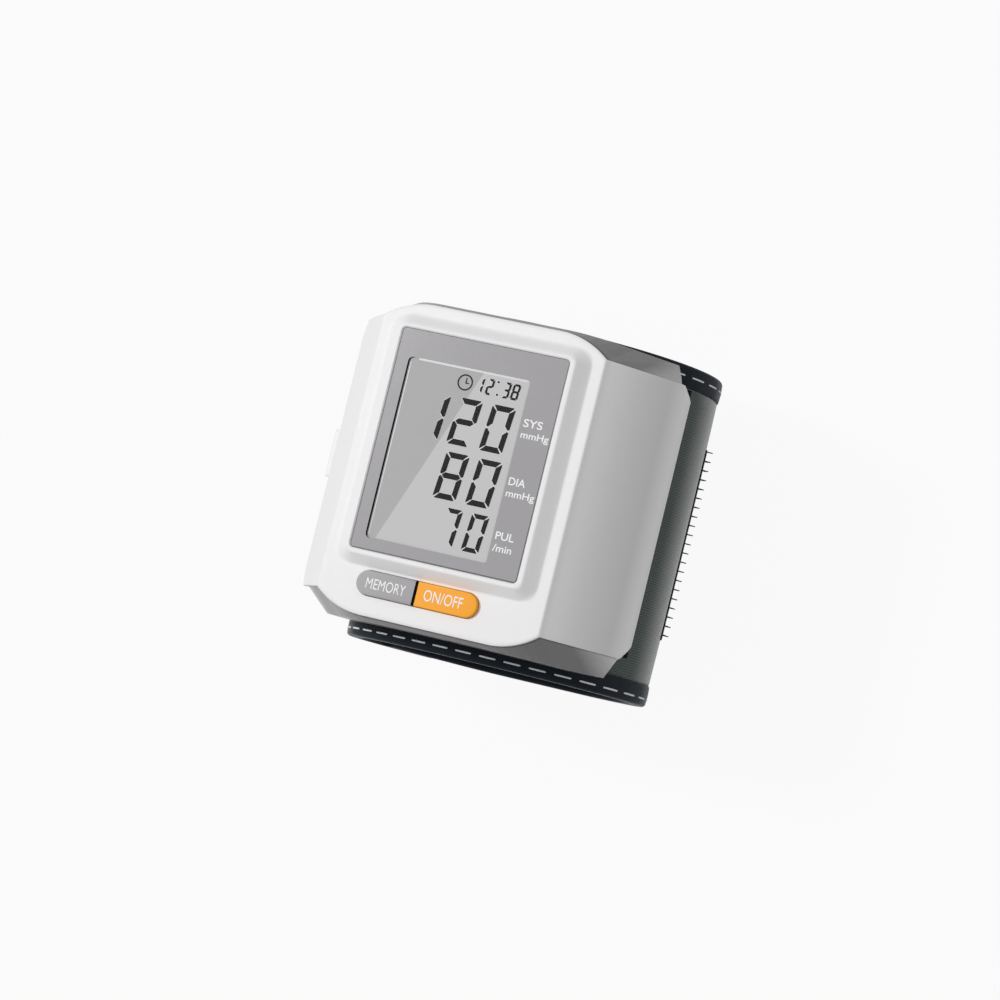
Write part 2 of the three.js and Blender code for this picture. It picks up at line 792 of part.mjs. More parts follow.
// Cells, springs and contact plates. The inner cell's plus end is at -Y, the outer one's at +Y.
function cell(x, z, side) {
  const shoulder = side * (cellPlus - nubLength);
  const minus = side * cellMinus;
  const plus = side * cellPlus;
  return rod(cellRadius, x, z, Math.min(shoulder, minus), Math.max(shoulder, minus)).add(
    rod(nubRadius, x, z, Math.min(shoulder - weld, plus), Math.max(shoulder + weld, plus)),
  );
}
place(housing, 'battery_cell_1', cell(-outerCell.x, outerCell.y, 1), cellSkin);
place(housing, 'battery_cell_2', cell(innerCellX, innerCellZ, -1), cellSkin);
class Helix extends THREE.Curve {
  constructor(x, z, low, high) {
    super();
    Object.assign(this, { x, z, low, high });
  }

  getPoint(share) {
    const angle = share * springCurls * 2 * Math.PI;
    return new THREE.Vector3(
      this.x + springRadius * Math.cos(angle),
      this.low + share * (this.high - this.low),
      this.z + springRadius * Math.sin(angle),
    );
  }
}
function sweep(path, radius, sides, steps) {
  const points = [];
  for (let k = 0; k < sides; k += 1) {
    const angle = 2 * Math.PI * k / sides;
    points.push(new THREE.Vector2(radius * Math.cos(angle), radius * Math.sin(angle)));
  }
  const settings = { steps, extrudePath: path, bevelEnabled: false };
  return solid(new THREE.ExtrudeGeometry(new THREE.Shape(points), settings));
}
function spring(x, z, side) {
  const atPlate = -side * (plateInner - gap - springWire);
  const atCell = side * (cellMinus - gap - springWire);
  const path = new Helix(x, z, Math.min(atPlate, atCell), Math.max(atPlate, atCell));
  return sweep(path, springWire, wireSides, springCurls * curlSteps);
}
place(housing, 'contact_spring_1', spring(-outerCell.x, outerCell.y, 1), steel);
place(housing, 'contact_spring_2', spring(innerCellX, innerCellZ, -1), steel);
function contactPlate(x, z) {
  return box(x - plateHalf, -roomEnd, z - plateHalf, x + plateHalf, -plateInner, z + plateHalf);
}
place(housing, 'contact_minus', contactPlate(-outerCell.x, outerCell.y), steel);
place(housing, 'contact_plus', contactPlate(innerCellX, innerCellZ), steel);
function contactBridge() {
  const from = new THREE.Vector2(-outerCell.x, outerCell.y);
  const to = new THREE.Vector2(innerCellX, innerCellZ);
  const along = to.clone().sub(from).setLength(plateHalf);
  const across = new THREE.Vector2(-along.y, along.x);
  const outline = [
    from.clone().sub(along).sub(across),
    to.clone().add(along).sub(across),
    to.clone().add(along).add(across),
    from.clone().sub(along).add(across),
  ];
  return slabAlongY(outline, plateInner, roomEnd);
}
place(housing, 'contact_bridge', contactBridge(), steel);

// Battery door with its pins along the edge beside the cuff
function batteryDoor() {
  const slant = new THREE.Vector2(footInset, caseDepth - lipDepth).normalize();
  const foot = new THREE.Vector2(footHalf, -caseDepth);
  const inset = foot.clone().add(new THREE.Vector2(-slant.y, slant.x).setLength(doorWall));
  const level = new THREE.Vector2(1, 0);
  const lip = new THREE.Vector2(0, -rimTop);
  const skin = [
    meet(lip, level, inset, slant),
    meet(lip, level, foot, slant),
    foot,
  ].map((point) => new THREE.Vector2(-point.x, point.y));
  for (let k = 0; k <= knuckleSteps; k += 1) {
    const angle = Math.PI * (1.5 * k / knuckleSteps - 0.5);
    const along = doorWall * Math.cos(angle);
    skin.push(new THREE.Vector2(doorPinX + along, doorPinZ + doorWall * Math.sin(angle)));
  }
  const innerFoot = meet(new THREE.Vector2(0, doorPinZ), level, inset, slant);
  skin.push(new THREE.Vector2(-innerFoot.x, innerFoot.y));
  const tabTop = -rimTop - doorTabSink;
  const tab = box(
    -wingHalf - doorTabReach, -doorTabLength / 2, tabTop - doorTabWall,
    2 * doorWall - wingHalf, doorTabLength / 2, tabTop,
  );
  const pin = rod(
    doorPinRadius, doorPinX, doorPinZ, -doorHalf - doorPinLength, doorHalf + doorPinLength,
  );
  return slabAlongY(skin, -doorHalf, doorHalf).add(tab).add(pin);
}
place(housing, 'battery_door', batteryDoor(), white);

// Motor, pump and air path
const shaftHole = rod(
  shaftRadius + gap, motorX, motorZ, motorStart - weld, motorStart + shaftHold + gap,
);
place(housing, 'pump_motor', rod(
  motorRadius, motorX, motorZ, motorStart, motorEndY,
).subtract(shaftHole), steel);
place(housing, 'motor_shaft', rod(
  shaftRadius, motorX, motorZ, motorStart - shaftReach, motorStart + shaftHold,
).add(rod(
  eccentricRadius, motorX + eccentricShift, motorZ,
  motorStart - shaftReach, motorStart - shaftReach + eccentricWall,
)), steel);
const portSide = motorX - Math.sqrt(motorRadius ** 2 - (portZ - motorZ) ** 2);
const portTip = portSide - portReach;
place(housing, 'pump_head', rod(motorRadius, motorX, motorZ, pumpStart, pumpEnd)
  .add(peg(portRadius, nippleY, portZ, portTip, portSide + pumpWall))
  .subtract(rod(
    motorRadius - pumpWall, motorX, motorZ, pumpStart + pumpWall, pumpEnd + weld,
  )), black);
const manifoldSide = nippleX + manifoldWidth / 2;
place(housing, 'air_manifold', box(
  nippleX - manifoldWidth / 2, nippleY - manifoldLength / 2, manifoldBottom,
  manifoldSide, nippleY + manifoldLength / 2, underBoard,
).add(rod(portRadius, nippleX, valveAxis, nozzleTip - nozzleReach - weld, nozzleTip)), white);
const hoseStart = new THREE.Vector3(portTip - gap, nippleY, portZ);
const hoseEnd = new THREE.Vector3(manifoldSide + gap, nippleY, portZ);
place(housing, 'air_hose', sweep(
  new THREE.LineCurve3(hoseStart, hoseEnd), hoseRadius, hoseSides, hoseSteps,
), silicone);
place(housing, 'release_valve', box(
  nippleX - valveWidth / 2, valveStart, underBoard - valveHeight,
  nippleX + valveWidth / 2, valveStart + valveLength, underBoard,
).subtract(rod(
  plungerRadius + gap, nippleX, valveAxis, valveStart - weld, valveStart + plungerHold + gap,
)), steel);
place(housing, 'valve_plunger', rod(
  plungerRadius, nippleX, valveAxis, plungerTip, valveStart + plungerHold,
), copper);
const bladderTop = cuffRadius - coverCloth - gap - formerWall - gap;
const nippleFoot = bladderTop + gap - cuffDepth;
const collarFoot = gap - arcDepth(floorRadius, nippleX - collarRadius);
place(housing, 'air_nipple', post(nippleRadius, nippleX, nippleY, nippleFoot, manifoldBottom - gap)
  .add(post(collarRadius, nippleX, nippleY, collarFoot, collarFoot + collarWall))
  .subtract(post(nippleBore, nippleX, nippleY, -reach, 0)), silicone);

// Case screws, put in from the cuff's side
screwPlaces.forEach(([x, y], index) => {
  const screw = post(screwHeadRadius, x, y, -screwHeadBottom, -screwHeadTop)
    .add(post(screwShankRadius, x, y, -screwHeadTop - weld, -screwTip));
  place(housing, `case_screw_${index + 1}`, screw, steel);
});

// Cuff layers, each between two depths under the cuff's outer surface
function tuck(angle) {
  const depth = coverCloth + gap + loopCloth + gap + hookWall + gap;
  const share = (tuckStartAngle - angle) / (tuckStartAngle - tuckEndAngle);
  const held = Math.min(Math.max(share, 0), 1);
  return depth * held * held * (3 - 2 * held);
}
function cuffPoint(angle, depth, y) {
  const radius = cuffRadius - tuck(angle) - depth;
  const z = Math.max(radius * Math.sin(angle * radians), depth - cuffFlatHeight);
  return new THREE.Vector3(radius * Math.cos(angle * radians), y, z);
}
function band(outer, wall, fromAngle, toAngle, low, high) {
  const angles = [fromAngle];
  const between = Math.floor(fromAngle / bandStepAngle) * bandStepAngle;
  for (let angle = between; angle > toAngle + slitAngle; angle -= bandStepAngle) {
    if (angle < fromAngle - slitAngle) angles.push(angle);
  }
  angles.push(toAngle);
  const rings = [];
  for (const angle of angles) {
    const depth = typeof outer === 'function' ? outer(angle) : outer;
    rings.push([
      cuffPoint(angle, depth + wall, low),
      cuffPoint(angle, depth + wall, high),
      cuffPoint(angle, depth, high),
      cuffPoint(angle, depth, low),
    ]);
  }
  return loft(rings);
}
const clothHalf = cuffWidth / 2 - bindingWidth - gap;
const formerHalf = clothHalf - formerMargin;
const bladderHalf = clothHalf - bladderMargin;
const formerDepth = coverCloth + gap;
const bladderDepth = formerDepth + formerWall + gap;
const liningRise = bladderWall + gap;
const bandStartAngle = hingeAngle - slitAngle;
const flapStartAngle = hingeAngle + slitAngle;
const nippleRoom = post(nippleRadius + gap, nippleX, nippleY - cuffShift, 0, reach);
place(cuff, 'cuff_cover', band(
  0, coverCloth, bandStartAngle, bandEndAngle, -clothHalf, clothHalf,
).subtract(nippleRoom), cloth);
place(cuff, 'cuff_former', band(
  formerDepth, formerWall, formerStartAngle, formerEndAngle, -formerHalf, formerHalf,
).subtract(nippleRoom), stiffener);
place(cuff, 'cuff_bladder', band(
  bladderDepth, bladderWall, bladderStartAngle, bladderEndAngle, -bladderHalf, bladderHalf,
), rubber);
function liningDepth(angle) {
  const before = (bladderStartAngle + bladderTaperAngle - angle) / bladderTaperAngle;
  const after = (angle - bladderEndAngle + bladderTaperAngle) / bladderTaperAngle;
  return bladderDepth + liningRise * Math.min(Math.max(Math.min(before, after), 0), 1);
}
place(cuff, 'cuff_lining', band(
  liningDepth, liningCloth, bandStartAngle, bandEndAngle, -clothHalf, clothHalf,
), liningDark);
place(cuff, 'hook_patch', band(
  -gap - hookWall, hookWall, hookStartAngle, hookEndAngle, -hookWidth / 2, hookWidth / 2,
), hookBlack);
const tapeInner = cuffWidth / 2 - bindingWidth;
place(cuff, 'cuff_binding_top', band(
  -bindingProud, bindingProud + bindingDepth, bandStartAngle, bandEndAngle, tapeInner, cuffWidth / 2,
), tape);
place(cuff, 'cuff_binding_bottom', band(
  -bindingProud, bindingProud + bindingDepth, bandStartAngle, bandEndAngle, -cuffWidth / 2, -tapeInner,
), tape);

// Free flap that closes over the hook strip
const loopDepth = coverCloth + gap;
const flapDepth = loopDepth + loopCloth;
const flapClothEnd = flapEndAngle - flapTapeAngle;
const flapTapeEnd = flapClothEnd + slitAngle;
place(cuff, 'flap_cover', band(
  0, coverCloth, flapClothEnd, flapStartAngle, -clothHalf, clothHalf,
), cloth);
place(cuff, 'flap_loop', band(
  loopDepth, loopCloth, flapClothEnd, flapStartAngle, -clothHalf, clothHalf,
), liningDark);
place(cuff, 'flap_binding_top', band(
  -bindingProud, bindingProud + flapDepth, flapEndAngle, flapStartAngle, tapeInner, cuffWidth / 2,
), tape);
place(cuff, 'flap_binding_bottom', band(
  -bindingProud, bindingProud + flapDepth, flapEndAngle, flapStartAngle, -cuffWidth / 2, -tapeInner,
), tape);
place(cuff, 'flap_end_binding', band(
  -bindingProud, bindingProud + flapDepth, flapEndAngle, flapTapeEnd, -clothHalf, clothHalf,
), tape);

export default monitor;
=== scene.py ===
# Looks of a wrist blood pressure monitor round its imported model: camera and light, the white
# cover's soft forms, the printed display, the sewn cloth cuff and a finish for every piece.
import bmesh
import bpy
import json
import math
import numpy as np
from mathutils import Matrix, Vector


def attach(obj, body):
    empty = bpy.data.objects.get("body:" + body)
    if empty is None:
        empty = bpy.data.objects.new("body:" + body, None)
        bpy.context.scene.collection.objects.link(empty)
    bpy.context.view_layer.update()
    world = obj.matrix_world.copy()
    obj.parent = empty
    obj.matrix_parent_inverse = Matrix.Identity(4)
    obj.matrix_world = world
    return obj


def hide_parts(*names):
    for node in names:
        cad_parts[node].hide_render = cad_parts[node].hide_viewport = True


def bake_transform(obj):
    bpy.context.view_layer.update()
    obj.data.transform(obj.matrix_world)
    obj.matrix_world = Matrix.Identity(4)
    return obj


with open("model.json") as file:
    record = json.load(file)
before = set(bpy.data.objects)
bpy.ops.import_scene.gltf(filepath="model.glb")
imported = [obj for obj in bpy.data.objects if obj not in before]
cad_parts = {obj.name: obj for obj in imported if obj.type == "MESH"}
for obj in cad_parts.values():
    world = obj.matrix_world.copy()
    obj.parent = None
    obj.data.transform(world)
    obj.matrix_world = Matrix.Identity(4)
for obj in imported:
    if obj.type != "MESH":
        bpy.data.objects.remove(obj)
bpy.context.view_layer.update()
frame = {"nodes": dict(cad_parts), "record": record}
nodes = frame["nodes"]
slotOf = {part["node"]: part["material_slot"] for part in frame["record"]["subparts"]}
mm = 0.001
deckZ = 74.3  # the deck's height, from which the housing's own sizes are measured
print("model loaded with", len(nodes), "nodes")


class Settings(dict):
    # a dictionary whose entries are also read by their names after a dot
    __getattr__ = dict.__getitem__


def newObject(name, data):
    made = bpy.data.objects.new(name, data)
    bpy.context.scene.collection.objects.link(made)
    return made


# Camera and light

cameraSettings = Settings(
    right=(0.90898, 0.23792, -0.34229),
    up=(-0.19984, 0.96938, 0.14309),
    back=(0.36582, -0.06157, 0.92865),
    place=(305.169, -53.219, 824.976),  # millimetres
    lens=149.6, sensor=36,
    clip=(0.05, 20),  # metres
)


def makeCamera(s):
    data = bpy.data.cameras.new("camera")
    data.lens = s.lens
    data.sensor_width = s.sensor
    data.clip_start, data.clip_end = s.clip
    eye = newObject("camera", data)
    turn = Matrix((s.right, s.up, s.back)).transposed()
    eye.matrix_world = Matrix.Translation([v * mm for v in s.place]) @ turn.to_4x4()
    bpy.context.scene.camera = eye


lampSettings = Settings(
    place=(-0.62, 0.155, 1.055), aim=(0, 0, 0.05),  # metres
    watts=7.0, size=0.2,
)


def makeLamp(s):
    data = bpy.data.lights.new("lamp1", "AREA")
    data.shape = "DISK"
    data.size = s.size
    data.energy = s.watts
    lamp = newObject("lamp1", data)
    back = Vector(s.place) - Vector(s.aim)
    turn = back.to_track_quat("Z", "Y").to_matrix().to_4x4()
    lamp.matrix_world = Matrix.Translation(s.place) @ turn


makeCamera(cameraSettings)
makeLamp(lampSettings)
bpy.context.scene.view_settings.view_transform = "Standard"
print("camera and lamp placed")


# Shader maths

def tone(red, green, blue):
    # the linear colour of a screen tone from 0 to 255
    share = np.array([red, green, blue]) / 255
    linear = np.where(share <= 0.04045, share / 12.92, ((share + 0.055) / 1.055) ** 2.4)
    return (*linear.tolist(), 1.0)


def shaded(colour, factor):
    return (*[min(c * factor, 1.0) for c in colour[:3]], 1.0)


def maths(operation, turned=False):
    # a method that adds one Math node; turned swaps its two values
    def method(*values):
        return values[0].look.number(operation, *(values[::-1] if turned else values))
    return method


class Term:
    # a socket that can be added, multiplied and compared as a number
    def __init__(self, look, socket):
        self.look, self.socket = look, socket

    __add__, __radd__ = maths("ADD"), maths("ADD", True)
    __sub__, __rsub__ = maths("SUBTRACT"), maths("SUBTRACT", True)
    __mul__, __rmul__ = maths("MULTIPLY"), maths("MULTIPLY", True)
    __truediv__, __abs__, __gt__ = maths("DIVIDE"), maths("ABSOLUTE"), maths("GREATER_THAN")
    sine, root, power = maths("SINE"), maths("SQRT"), maths("POWER")
    most, least = maths("MAXIMUM"), maths("MINIMUM")


class NodeSet:
    # the nodes of one material, or of the sky
    def __init__(self, holder):
        holder.use_nodes = True
        self.tree = holder.node_tree
        self.tree.nodes.clear()

    def node(self, kind, settings=None, inputs=None):
        made = self.tree.nodes.new(kind)
        for key, value in (settings or {}).items():
            setattr(made, key, value)
        for key, value in (inputs or {}).items():
            self.feed(made.inputs[key], value)
        return made

    def feed(self, socket, value):
        if isinstance(value, Term):
            self.tree.links.new(value.socket, socket)
        else:
            socket.default_value = value

    def term(self, kind, output, settings=None, inputs=None):
        # one output of a new node
        return Term(self, self.node(kind, settings, inputs).outputs[output])

    def number(self, operation, *values):
        return self.term("ShaderNodeMath", 0, {"operation": operation}, dict(enumerate(values)))

    def spread(self, value, low, high, toLow=0.0, toHigh=1.0):
        # low and high are carried to toLow and toHigh, and held there beyond
        return self.term("ShaderNodeMapRange", 0, {"clamp": True}, {
            "Value": value, "From Min": low, "From Max": high, "To Min": toLow, "To Max": toHigh,
        })

    def seen(self):
        # one for what the camera, a gloss or a clear piece sees, and zero for light
        outputs = self.node("ShaderNodeLightPath").outputs
        camera, gloss, clear = [Term(self, outputs[f"Is {kind} Ray"])
                                for kind in ("Camera", "Glossy", "Transmission")]
        return camera.most(gloss).most(clear)


class Look(NodeSet):
    # one material: a shader, and the nodes that feed it
    def __init__(self, name, **sockets):
        self.material = bpy.data.materials.new(name)
        super().__init__(self.material)
        self.output = self.node("ShaderNodeOutputMaterial")
        self.shader = self.node("ShaderNodeBsdfPrincipled")
        self.feed(self.output.inputs[0], Term(self, self.shader.outputs[0]))
        for key, value in sockets.items():
            self.feed(self.shader.inputs[key.replace("_", " ")], value)

    def parts(self, vector):
        made = self.node("ShaderNodeSeparateXYZ", {}, {0: vector})
        return [Term(self, socket) for socket in made.outputs]

    def place(self):
        # x, y and z in metres
        return self.parts(self.term("ShaderNodeTexCoord", "Object"))

    def cloth(self):
        # lengths along and across a band in millimetres
        return self.parts(self.term("ShaderNodeUVMap", 0, {"uv_map": "cloth"}))

    def noise(self, scale, detail=2.0, roughness=0.5):
        # scale is the number of spots to a metre
        return self.term("ShaderNodeTexNoise", 0, {}, {
            "Vector": self.term("ShaderNodeTexCoord", "Object"),
            "Scale": scale, "Detail": detail, "Roughness": roughness,
        })

    def colour(self, factor, first, second):
        return self.term("ShaderNodeMix", 2, {"data_type": "RGBA"}, {0: factor, 6: first, 7: second})

    def paintedSheen(self, start, end, strength):
        # painted sheen: a share of pale colour, none face on and most at the outline
        facing = self.term("ShaderNodeLayerWeight", "Facing", {}, {"Blend": 0.5})
        return self.spread(facing, start, end, 0.0, strength)

    def drifting(self, roughness, scale=140, swing=0.06):
        # a roughness that swings finely round its value
        fine = self.spread(self.noise(scale * 9, 2), 0.3, 0.7)
        return roughness - swing / 2 + fine * swing

    def finish(self, colour, roughness, height, depth, strength=1.0, edge=0.0):
        # depth is the relief that a height of one gives, and edge rounds the corners; millimetres
        inputs = {"Height": height, "Distance": depth * mm, "Strength": strength}
        if edge:
            inputs["Normal"] = self.term("ShaderNodeBevel", 0, {"samples": 6}, {"Radius": edge * mm})
        bump = self.term("ShaderNodeBump", 0, {}, inputs)
        for key, value in (("Base Color", colour), ("Roughness", roughness), ("Normal", bump)):
            self.feed(self.shader.inputs[key], value)
        return self.material


# Finishes

kindSettings = Settings(
    # spots to a metre and swing of the drift, then spots, detail and strength of the grain
    plastic=Settings(spots=140, swing=0.06, grain=5200, detail=2, strength=1.0),
    metal=Settings(spots=300, swing=0.12, grain=2600, detail=4, strength=1.0),
    rubber=Settings(spots=220, swing=0.1, grain=3600, detail=3, strength=0.8),
)
plainSettings = {
    # kind, colour, roughness, depth of the grain and radius of the edges in millimetres, mottle,
    # gloss level
    "black_frame": ("plastic", tone(16, 16, 17), 0.55, 0.006, 0.2, 0.05, 0.15),
    "component": ("plastic", tone(28, 28, 30), 0.45, 0.006, 0.15, 0.06),
    "grey_button": ("plastic", tone(172, 170, 172), 0.5, 0.003, 0.08, 0.012, 0.25),
    "orange_button": ("plastic", tone(254, 170, 40), 0.5, 0.003, 0.08, 0.015, 0.25),
    "stiffener": ("plastic", tone(203, 205, 210), 0.45, 0.006, 0.2, 0.02),
    "ink": ("plastic", tone(34, 34, 34), 0.7, 0.001, 0, 0.03, 0.02),
    "halo": ("plastic", tone(236, 236, 236), 0.6, 0.001, 0, 0.01, 0.1),
    "print": ("plastic", tone(248, 248, 248), 0.5, 0.001, 0, 0.006, 0.2),
    # painted shadow: the grey line under the window's rim
    "seam": ("plastic", tone(92, 92, 94), 0.5, 0.001, 0, 0.05, 0.1),
    # painted shadow: the black of the display's left edge and of the buttons' slit
    "groove": ("plastic", tone(8, 8, 9), 0.6, 0.001, 0, 0.05, 0.02),
    # painted highlight: the light line of the display's bevel
    "bevel_glint": ("plastic", tone(204, 203, 205), 0.35, 0.002, 0, 0.01),
    "steel": ("metal", tone(190, 192, 195), 0.3, 0.004, 0.12, 0.06),
    "brass": ("metal", tone(205, 168, 92), 0.3, 0.004, 0.12, 0.06),
    "silicone": ("rubber", tone(222, 221, 215), 0.45, 0.01, 0, 0.05),
    "bladder": ("rubber", tone(44, 45, 48), 0.5, 0.01, 0, 0.05),
}


def plainLook(name, kind, colour, roughness, depth, edge, mottle, level=0.5):
    # colour and roughness that drift a little over the surface, under a fine grain
    k = kindSettings[kind]
    look = Look(name, Metallic=1.0 if kind == "metal" else 0.0, Specular_IOR_Level=level)
    patch = look.spread(look.noise(k.spots, 3), 0.3, 0.7)
    mottled = look.colour(patch, shaded(colour, 1 - mottle), shaded(colour, 1 + mottle))
    return look.finish(mottled, look.drifting(roughness, k.spots, k.swing),
                       look.noise(k.grain, k.detail), depth, k.strength, edge)


shellSettings = Settings(
    # the face swells a little over its width from a start; sizes in millimetres
    white_shell=Settings(
        colour=tone(240, 239, 240), roughness=0.42, level=0.3, edge=0.25,
        start=23.9, width=11.9, swell=0.9, grain=0.003,
        # painted light and shade: the right wing's colour is lighter at its fold, darker outwards, and
        # lighter again at its edge
        near=1.15, far=0.93, begins=1.0, fall=(26, 33), rise=(33.2, 35.2),
    ),
    grey_shell=Settings(
        colour=tone(98, 96, 98), roughness=0.3, level=0.4, edge=0.4,
        start=-36.0, width=72.0, swell=4.0, grain=0.003,
        # painted light: the moulding's colour is paler towards its two sides
        paler=tone(238, 236, 239), side=(28, 35.5),
    ),
)


def shellLook(name, s):
    # moulded shell: fine grain, soft edges, and a face that swells as a parabola over its width
    look = Look(name, Specular_IOR_Level=s.level)
    x, y, z = look.place()
    across = (x * 1000 - s.start).most(0.0).least(s.width)
    crown = across * (s.width - across) * (4 * s.swell / s.width ** 2)
    drift = look.noise(140, 3) * 0.1 - 0.05

    def between(value, limits):
        return look.spread(value, limits[0] * mm, limits[1] * mm)

    # painted light: the grey shell's colour turns paler towards its two sides
    if "paler" in s:
        colour = look.colour(between(abs(x), s.side) + drift, s.colour, s.paler)
    else:
        # painted light and shade on the right wing: lighter at its fold, darker outwards, lighter again at
        # its edge
        fall = between(x, s.fall) * (1 - between(x, s.rise))
        wing = look.colour(fall + drift, shaded(s.colour, s.near), shaded(s.colour, s.far))
        colour = look.colour(between(x, (s.start, s.start + s.begins)), s.colour, wing)
    height = crown + s.grain * look.noise(5200)
    return look.finish(colour, look.drifting(s.roughness), height, 1.0, 1.0, s.edge)


def waves(value, pitch):
    # a sine over the value, one wave to each pitch
    return (value * (2 * math.pi / pitch)).sine()


def boardLook():
    # green lacquer with a faint grid of tracks under it, where two sines come near their tops
    look = Look("board", Coat_Weight=0.4, Coat_Roughness=0.15)
    x, y, z = look.place()
    tracks = (waves(x, 0.0018) > 0.82).most(waves(y, 0.0031) > 0.9)
    green = look.colour(look.noise(300), tone(22, 84, 46), tone(28, 98, 56))
    lacquer = look.colour(tracks, green, tone(46, 124, 74))
    return look.finish(lacquer, 0.42 + 0.1 * look.noise(2400), tracks, 0.02, 1.0, 0.1)


clothSettings = {
    # thread, shade between threads, sheen, and the painted sheen's start, end and strength
    "cuff_cloth": (tone(112, 123, 119), tone(52, 60, 58), 0.4, (0.5, 0.92, 1.0)),
    "flap_cloth": (tone(112, 123, 119), tone(52, 60, 58), 0.25, (0.6, 1.0, 0.3)),
    "hook_strip": (tone(26, 27, 29), tone(8, 9, 10), 0.05, (0.6, 1.0, 0.02)),
}
weaveSettings = Settings(pitch=0.5, depth=0.06, plump=0.6, step=0.2)  # millimetres


def clothLook(name, colour, dark, sheen, paintedSheen):
    # a plain weave: soft square crowns whose rows step over and under each other, with painted
    # sheen that turns the colour pale towards the outline
    look = Look(name, Sheen_Weight=sheen, Sheen_Roughness=0.35, Specular_IOR_Level=0.2)
    u, v, w = look.cloth()
    across, along = waves(u, 2 * weaveSettings.pitch), waves(v, 2 * weaveSettings.pitch)
    step = weaveSettings.step
    crowns = (abs(across) * abs(along)).power(weaveSettings.plump)
    threads = crowns * (1 - step + step * (across * along))
    blotch = look.spread(look.noise(120, 3), 0.3, 0.7)
    woven = look.colour(threads, dark, look.colour(blotch, shaded(colour, 0.93), shaded(colour, 1.07)))
    # painted sheen: the colour turns nearly white towards the outline, a little more on the threads
    pale = look.paintedSheen(*paintedSheen).power(1.4) * (0.72 + 0.28 * threads)
    return look.finish(look.colour(pale, woven, (0.97, 0.98, 0.98, 1)), 0.85 - 0.1 * threads,
                       threads + 0.25 * look.noise(9000), weaveSettings.depth, 0.8)


def fleeceLook():
    # short brushed pile
    look = Look("lining", Sheen_Weight=0.5, Sheen_Roughness=0.6, Specular_IOR_Level=0.15)
    pile = look.noise(4200, 4, 0.7)
    return look.finish(look.colour(pile, tone(26, 29, 33), tone(54, 58, 63)), 0.9 + 0.08 * look.noise(900),
                       pile + 0.5 * look.noise(700, 3), 0.12, 0.9)


def tapeLook():
    # tightly woven blue-black tape: a fine diagonal twill, with broad ribs the other way
    look = Look("binding", Sheen_Weight=0.1, Sheen_Roughness=0.4,
                Sheen_Tint=(0.7, 0.78, 0.9, 1), Specular_IOR_Level=0.12)
    u, v, w = look.cloth()
    twill = 0.5 + 0.5 * waves(u + v, 0.38)
    ribs = 0.5 + 0.5 * waves(u - v, 1.1)
    thread = look.colour(look.spread(look.noise(260, 3), 0.3, 0.7), tone(21, 27, 35), tone(30, 37, 46))
    woven = look.colour(twill, tone(13, 18, 25), thread)
    # painted sheen: the tape's colour turns paler towards its outline
    pale = look.colour(look.paintedSheen(0.7, 1.0, 0.5), woven, (0.5, 0.53, 0.56, 1))
    return look.finish(pale, 0.72 - 0.12 * twill, twill + 0.3 * ribs + 0.3 * look.noise(8000), 0.02, 0.7)


def threadLook():
    # twisted white thread
    look = Look("stitching", Sheen_Weight=0.3, Sheen_Roughness=0.4)
    x, y, z = look.place()
    twist = 0.5 + 0.5 * waves(x + 2 * y + z, 0.00035)
    return look.finish(look.colour(twist, tone(232, 235, 234), tone(252, 253, 253)),
                       0.6 + 0.2 * look.noise(3000), twist, 0.02)


def jacketLook():
    # a cell's plain jacket: pale ends and a blue body
    look = Look("cell_jacket", Metallic=0.6)
    x, y, z = look.place()
    band = look.spread(abs(y), 0.0195, 0.0197)
    blue = look.colour(look.noise(180), tone(48, 84, 140), tone(58, 98, 158))
    return look.finish(look.colour(band, blue, tone(196, 198, 202)), 0.28 + 0.1 * look.noise(1200),
                       look.noise(2800), 0.004, 1.0, 0.3)


def roundedMask(look, x, y, box, corner, blur=0.04):
    # one inside a rectangle with round corners and zero outside, by the distance from its outline
    lowX, lowY, highX, highY = [v * mm for v in box]
    r = corner * mm
    acrossX = abs(x - (lowX + highX) / 2) - ((highX - lowX) / 2 - r)
    acrossY = abs(y - (lowY + highY) / 2) - ((highY - lowY) / 2 - r)
    outX, outY = acrossX.most(0.0), acrossY.most(0.0)
    distance = (outX * outX + outY * outY).root() + acrossX.most(acrossY).least(0.0) - r
    return look.spread(distance, -blur * mm, blur * mm, 1.0, 0.0)


windowSettings = Settings(
    # boxes are low x, low y, high x, high y, and heights are over the deck
    clearBox=(-15.3, -16.12, 10.45, 20.46), clearCorner=0.6, glass=0.01,
    panel=tone(165, 163, 166),
    outline=(-18.28, -18.68, 17.58, 25.88), corner=0.75, bottom=0.9, top=1.9, edge=0.1,
    pocket=(-15.75, -16.85, 10.95, 20.85), pocketCorner=0.3, pocketFoot=-2, pocketTop=1.84,
    picture=(-15.6, -16.7, 10.8, 20.7), pictureCorner=0.2, pictureFoot=0.63, pictureTop=1.76,
    crease=25,
)


def panelLook(s):
    # a panel printed grey from behind, clear over the display
    look = Look("window", Specular_IOR_Level=0.22)
    x, y, z = look.place()
    opening = roundedMask(look, x, y, s.clearBox, s.clearCorner)
    grey = look.colour(look.spread(look.noise(60), 0.35, 0.65),
                       shaded(s.panel, 0.985), shaded(s.panel, 1.015))
    look.feed(look.shader.inputs["Alpha"], 1 - (1 - s.glass) * opening)
    return look.finish(look.colour(opening, grey, tone(235, 235, 235)), 0.14 + 0.04 * look.noise(800),
                       look.noise(1500), 0.0008)


displaySettings = Settings(
    lit=tone(205, 205, 205),
    dim=tone(182, 182, 182),
    line=((0.5, 20.0), (-13.5, -16.1)),  # the reflection's edge across the display
    blur=0.06, fade=(-18, 14),
)


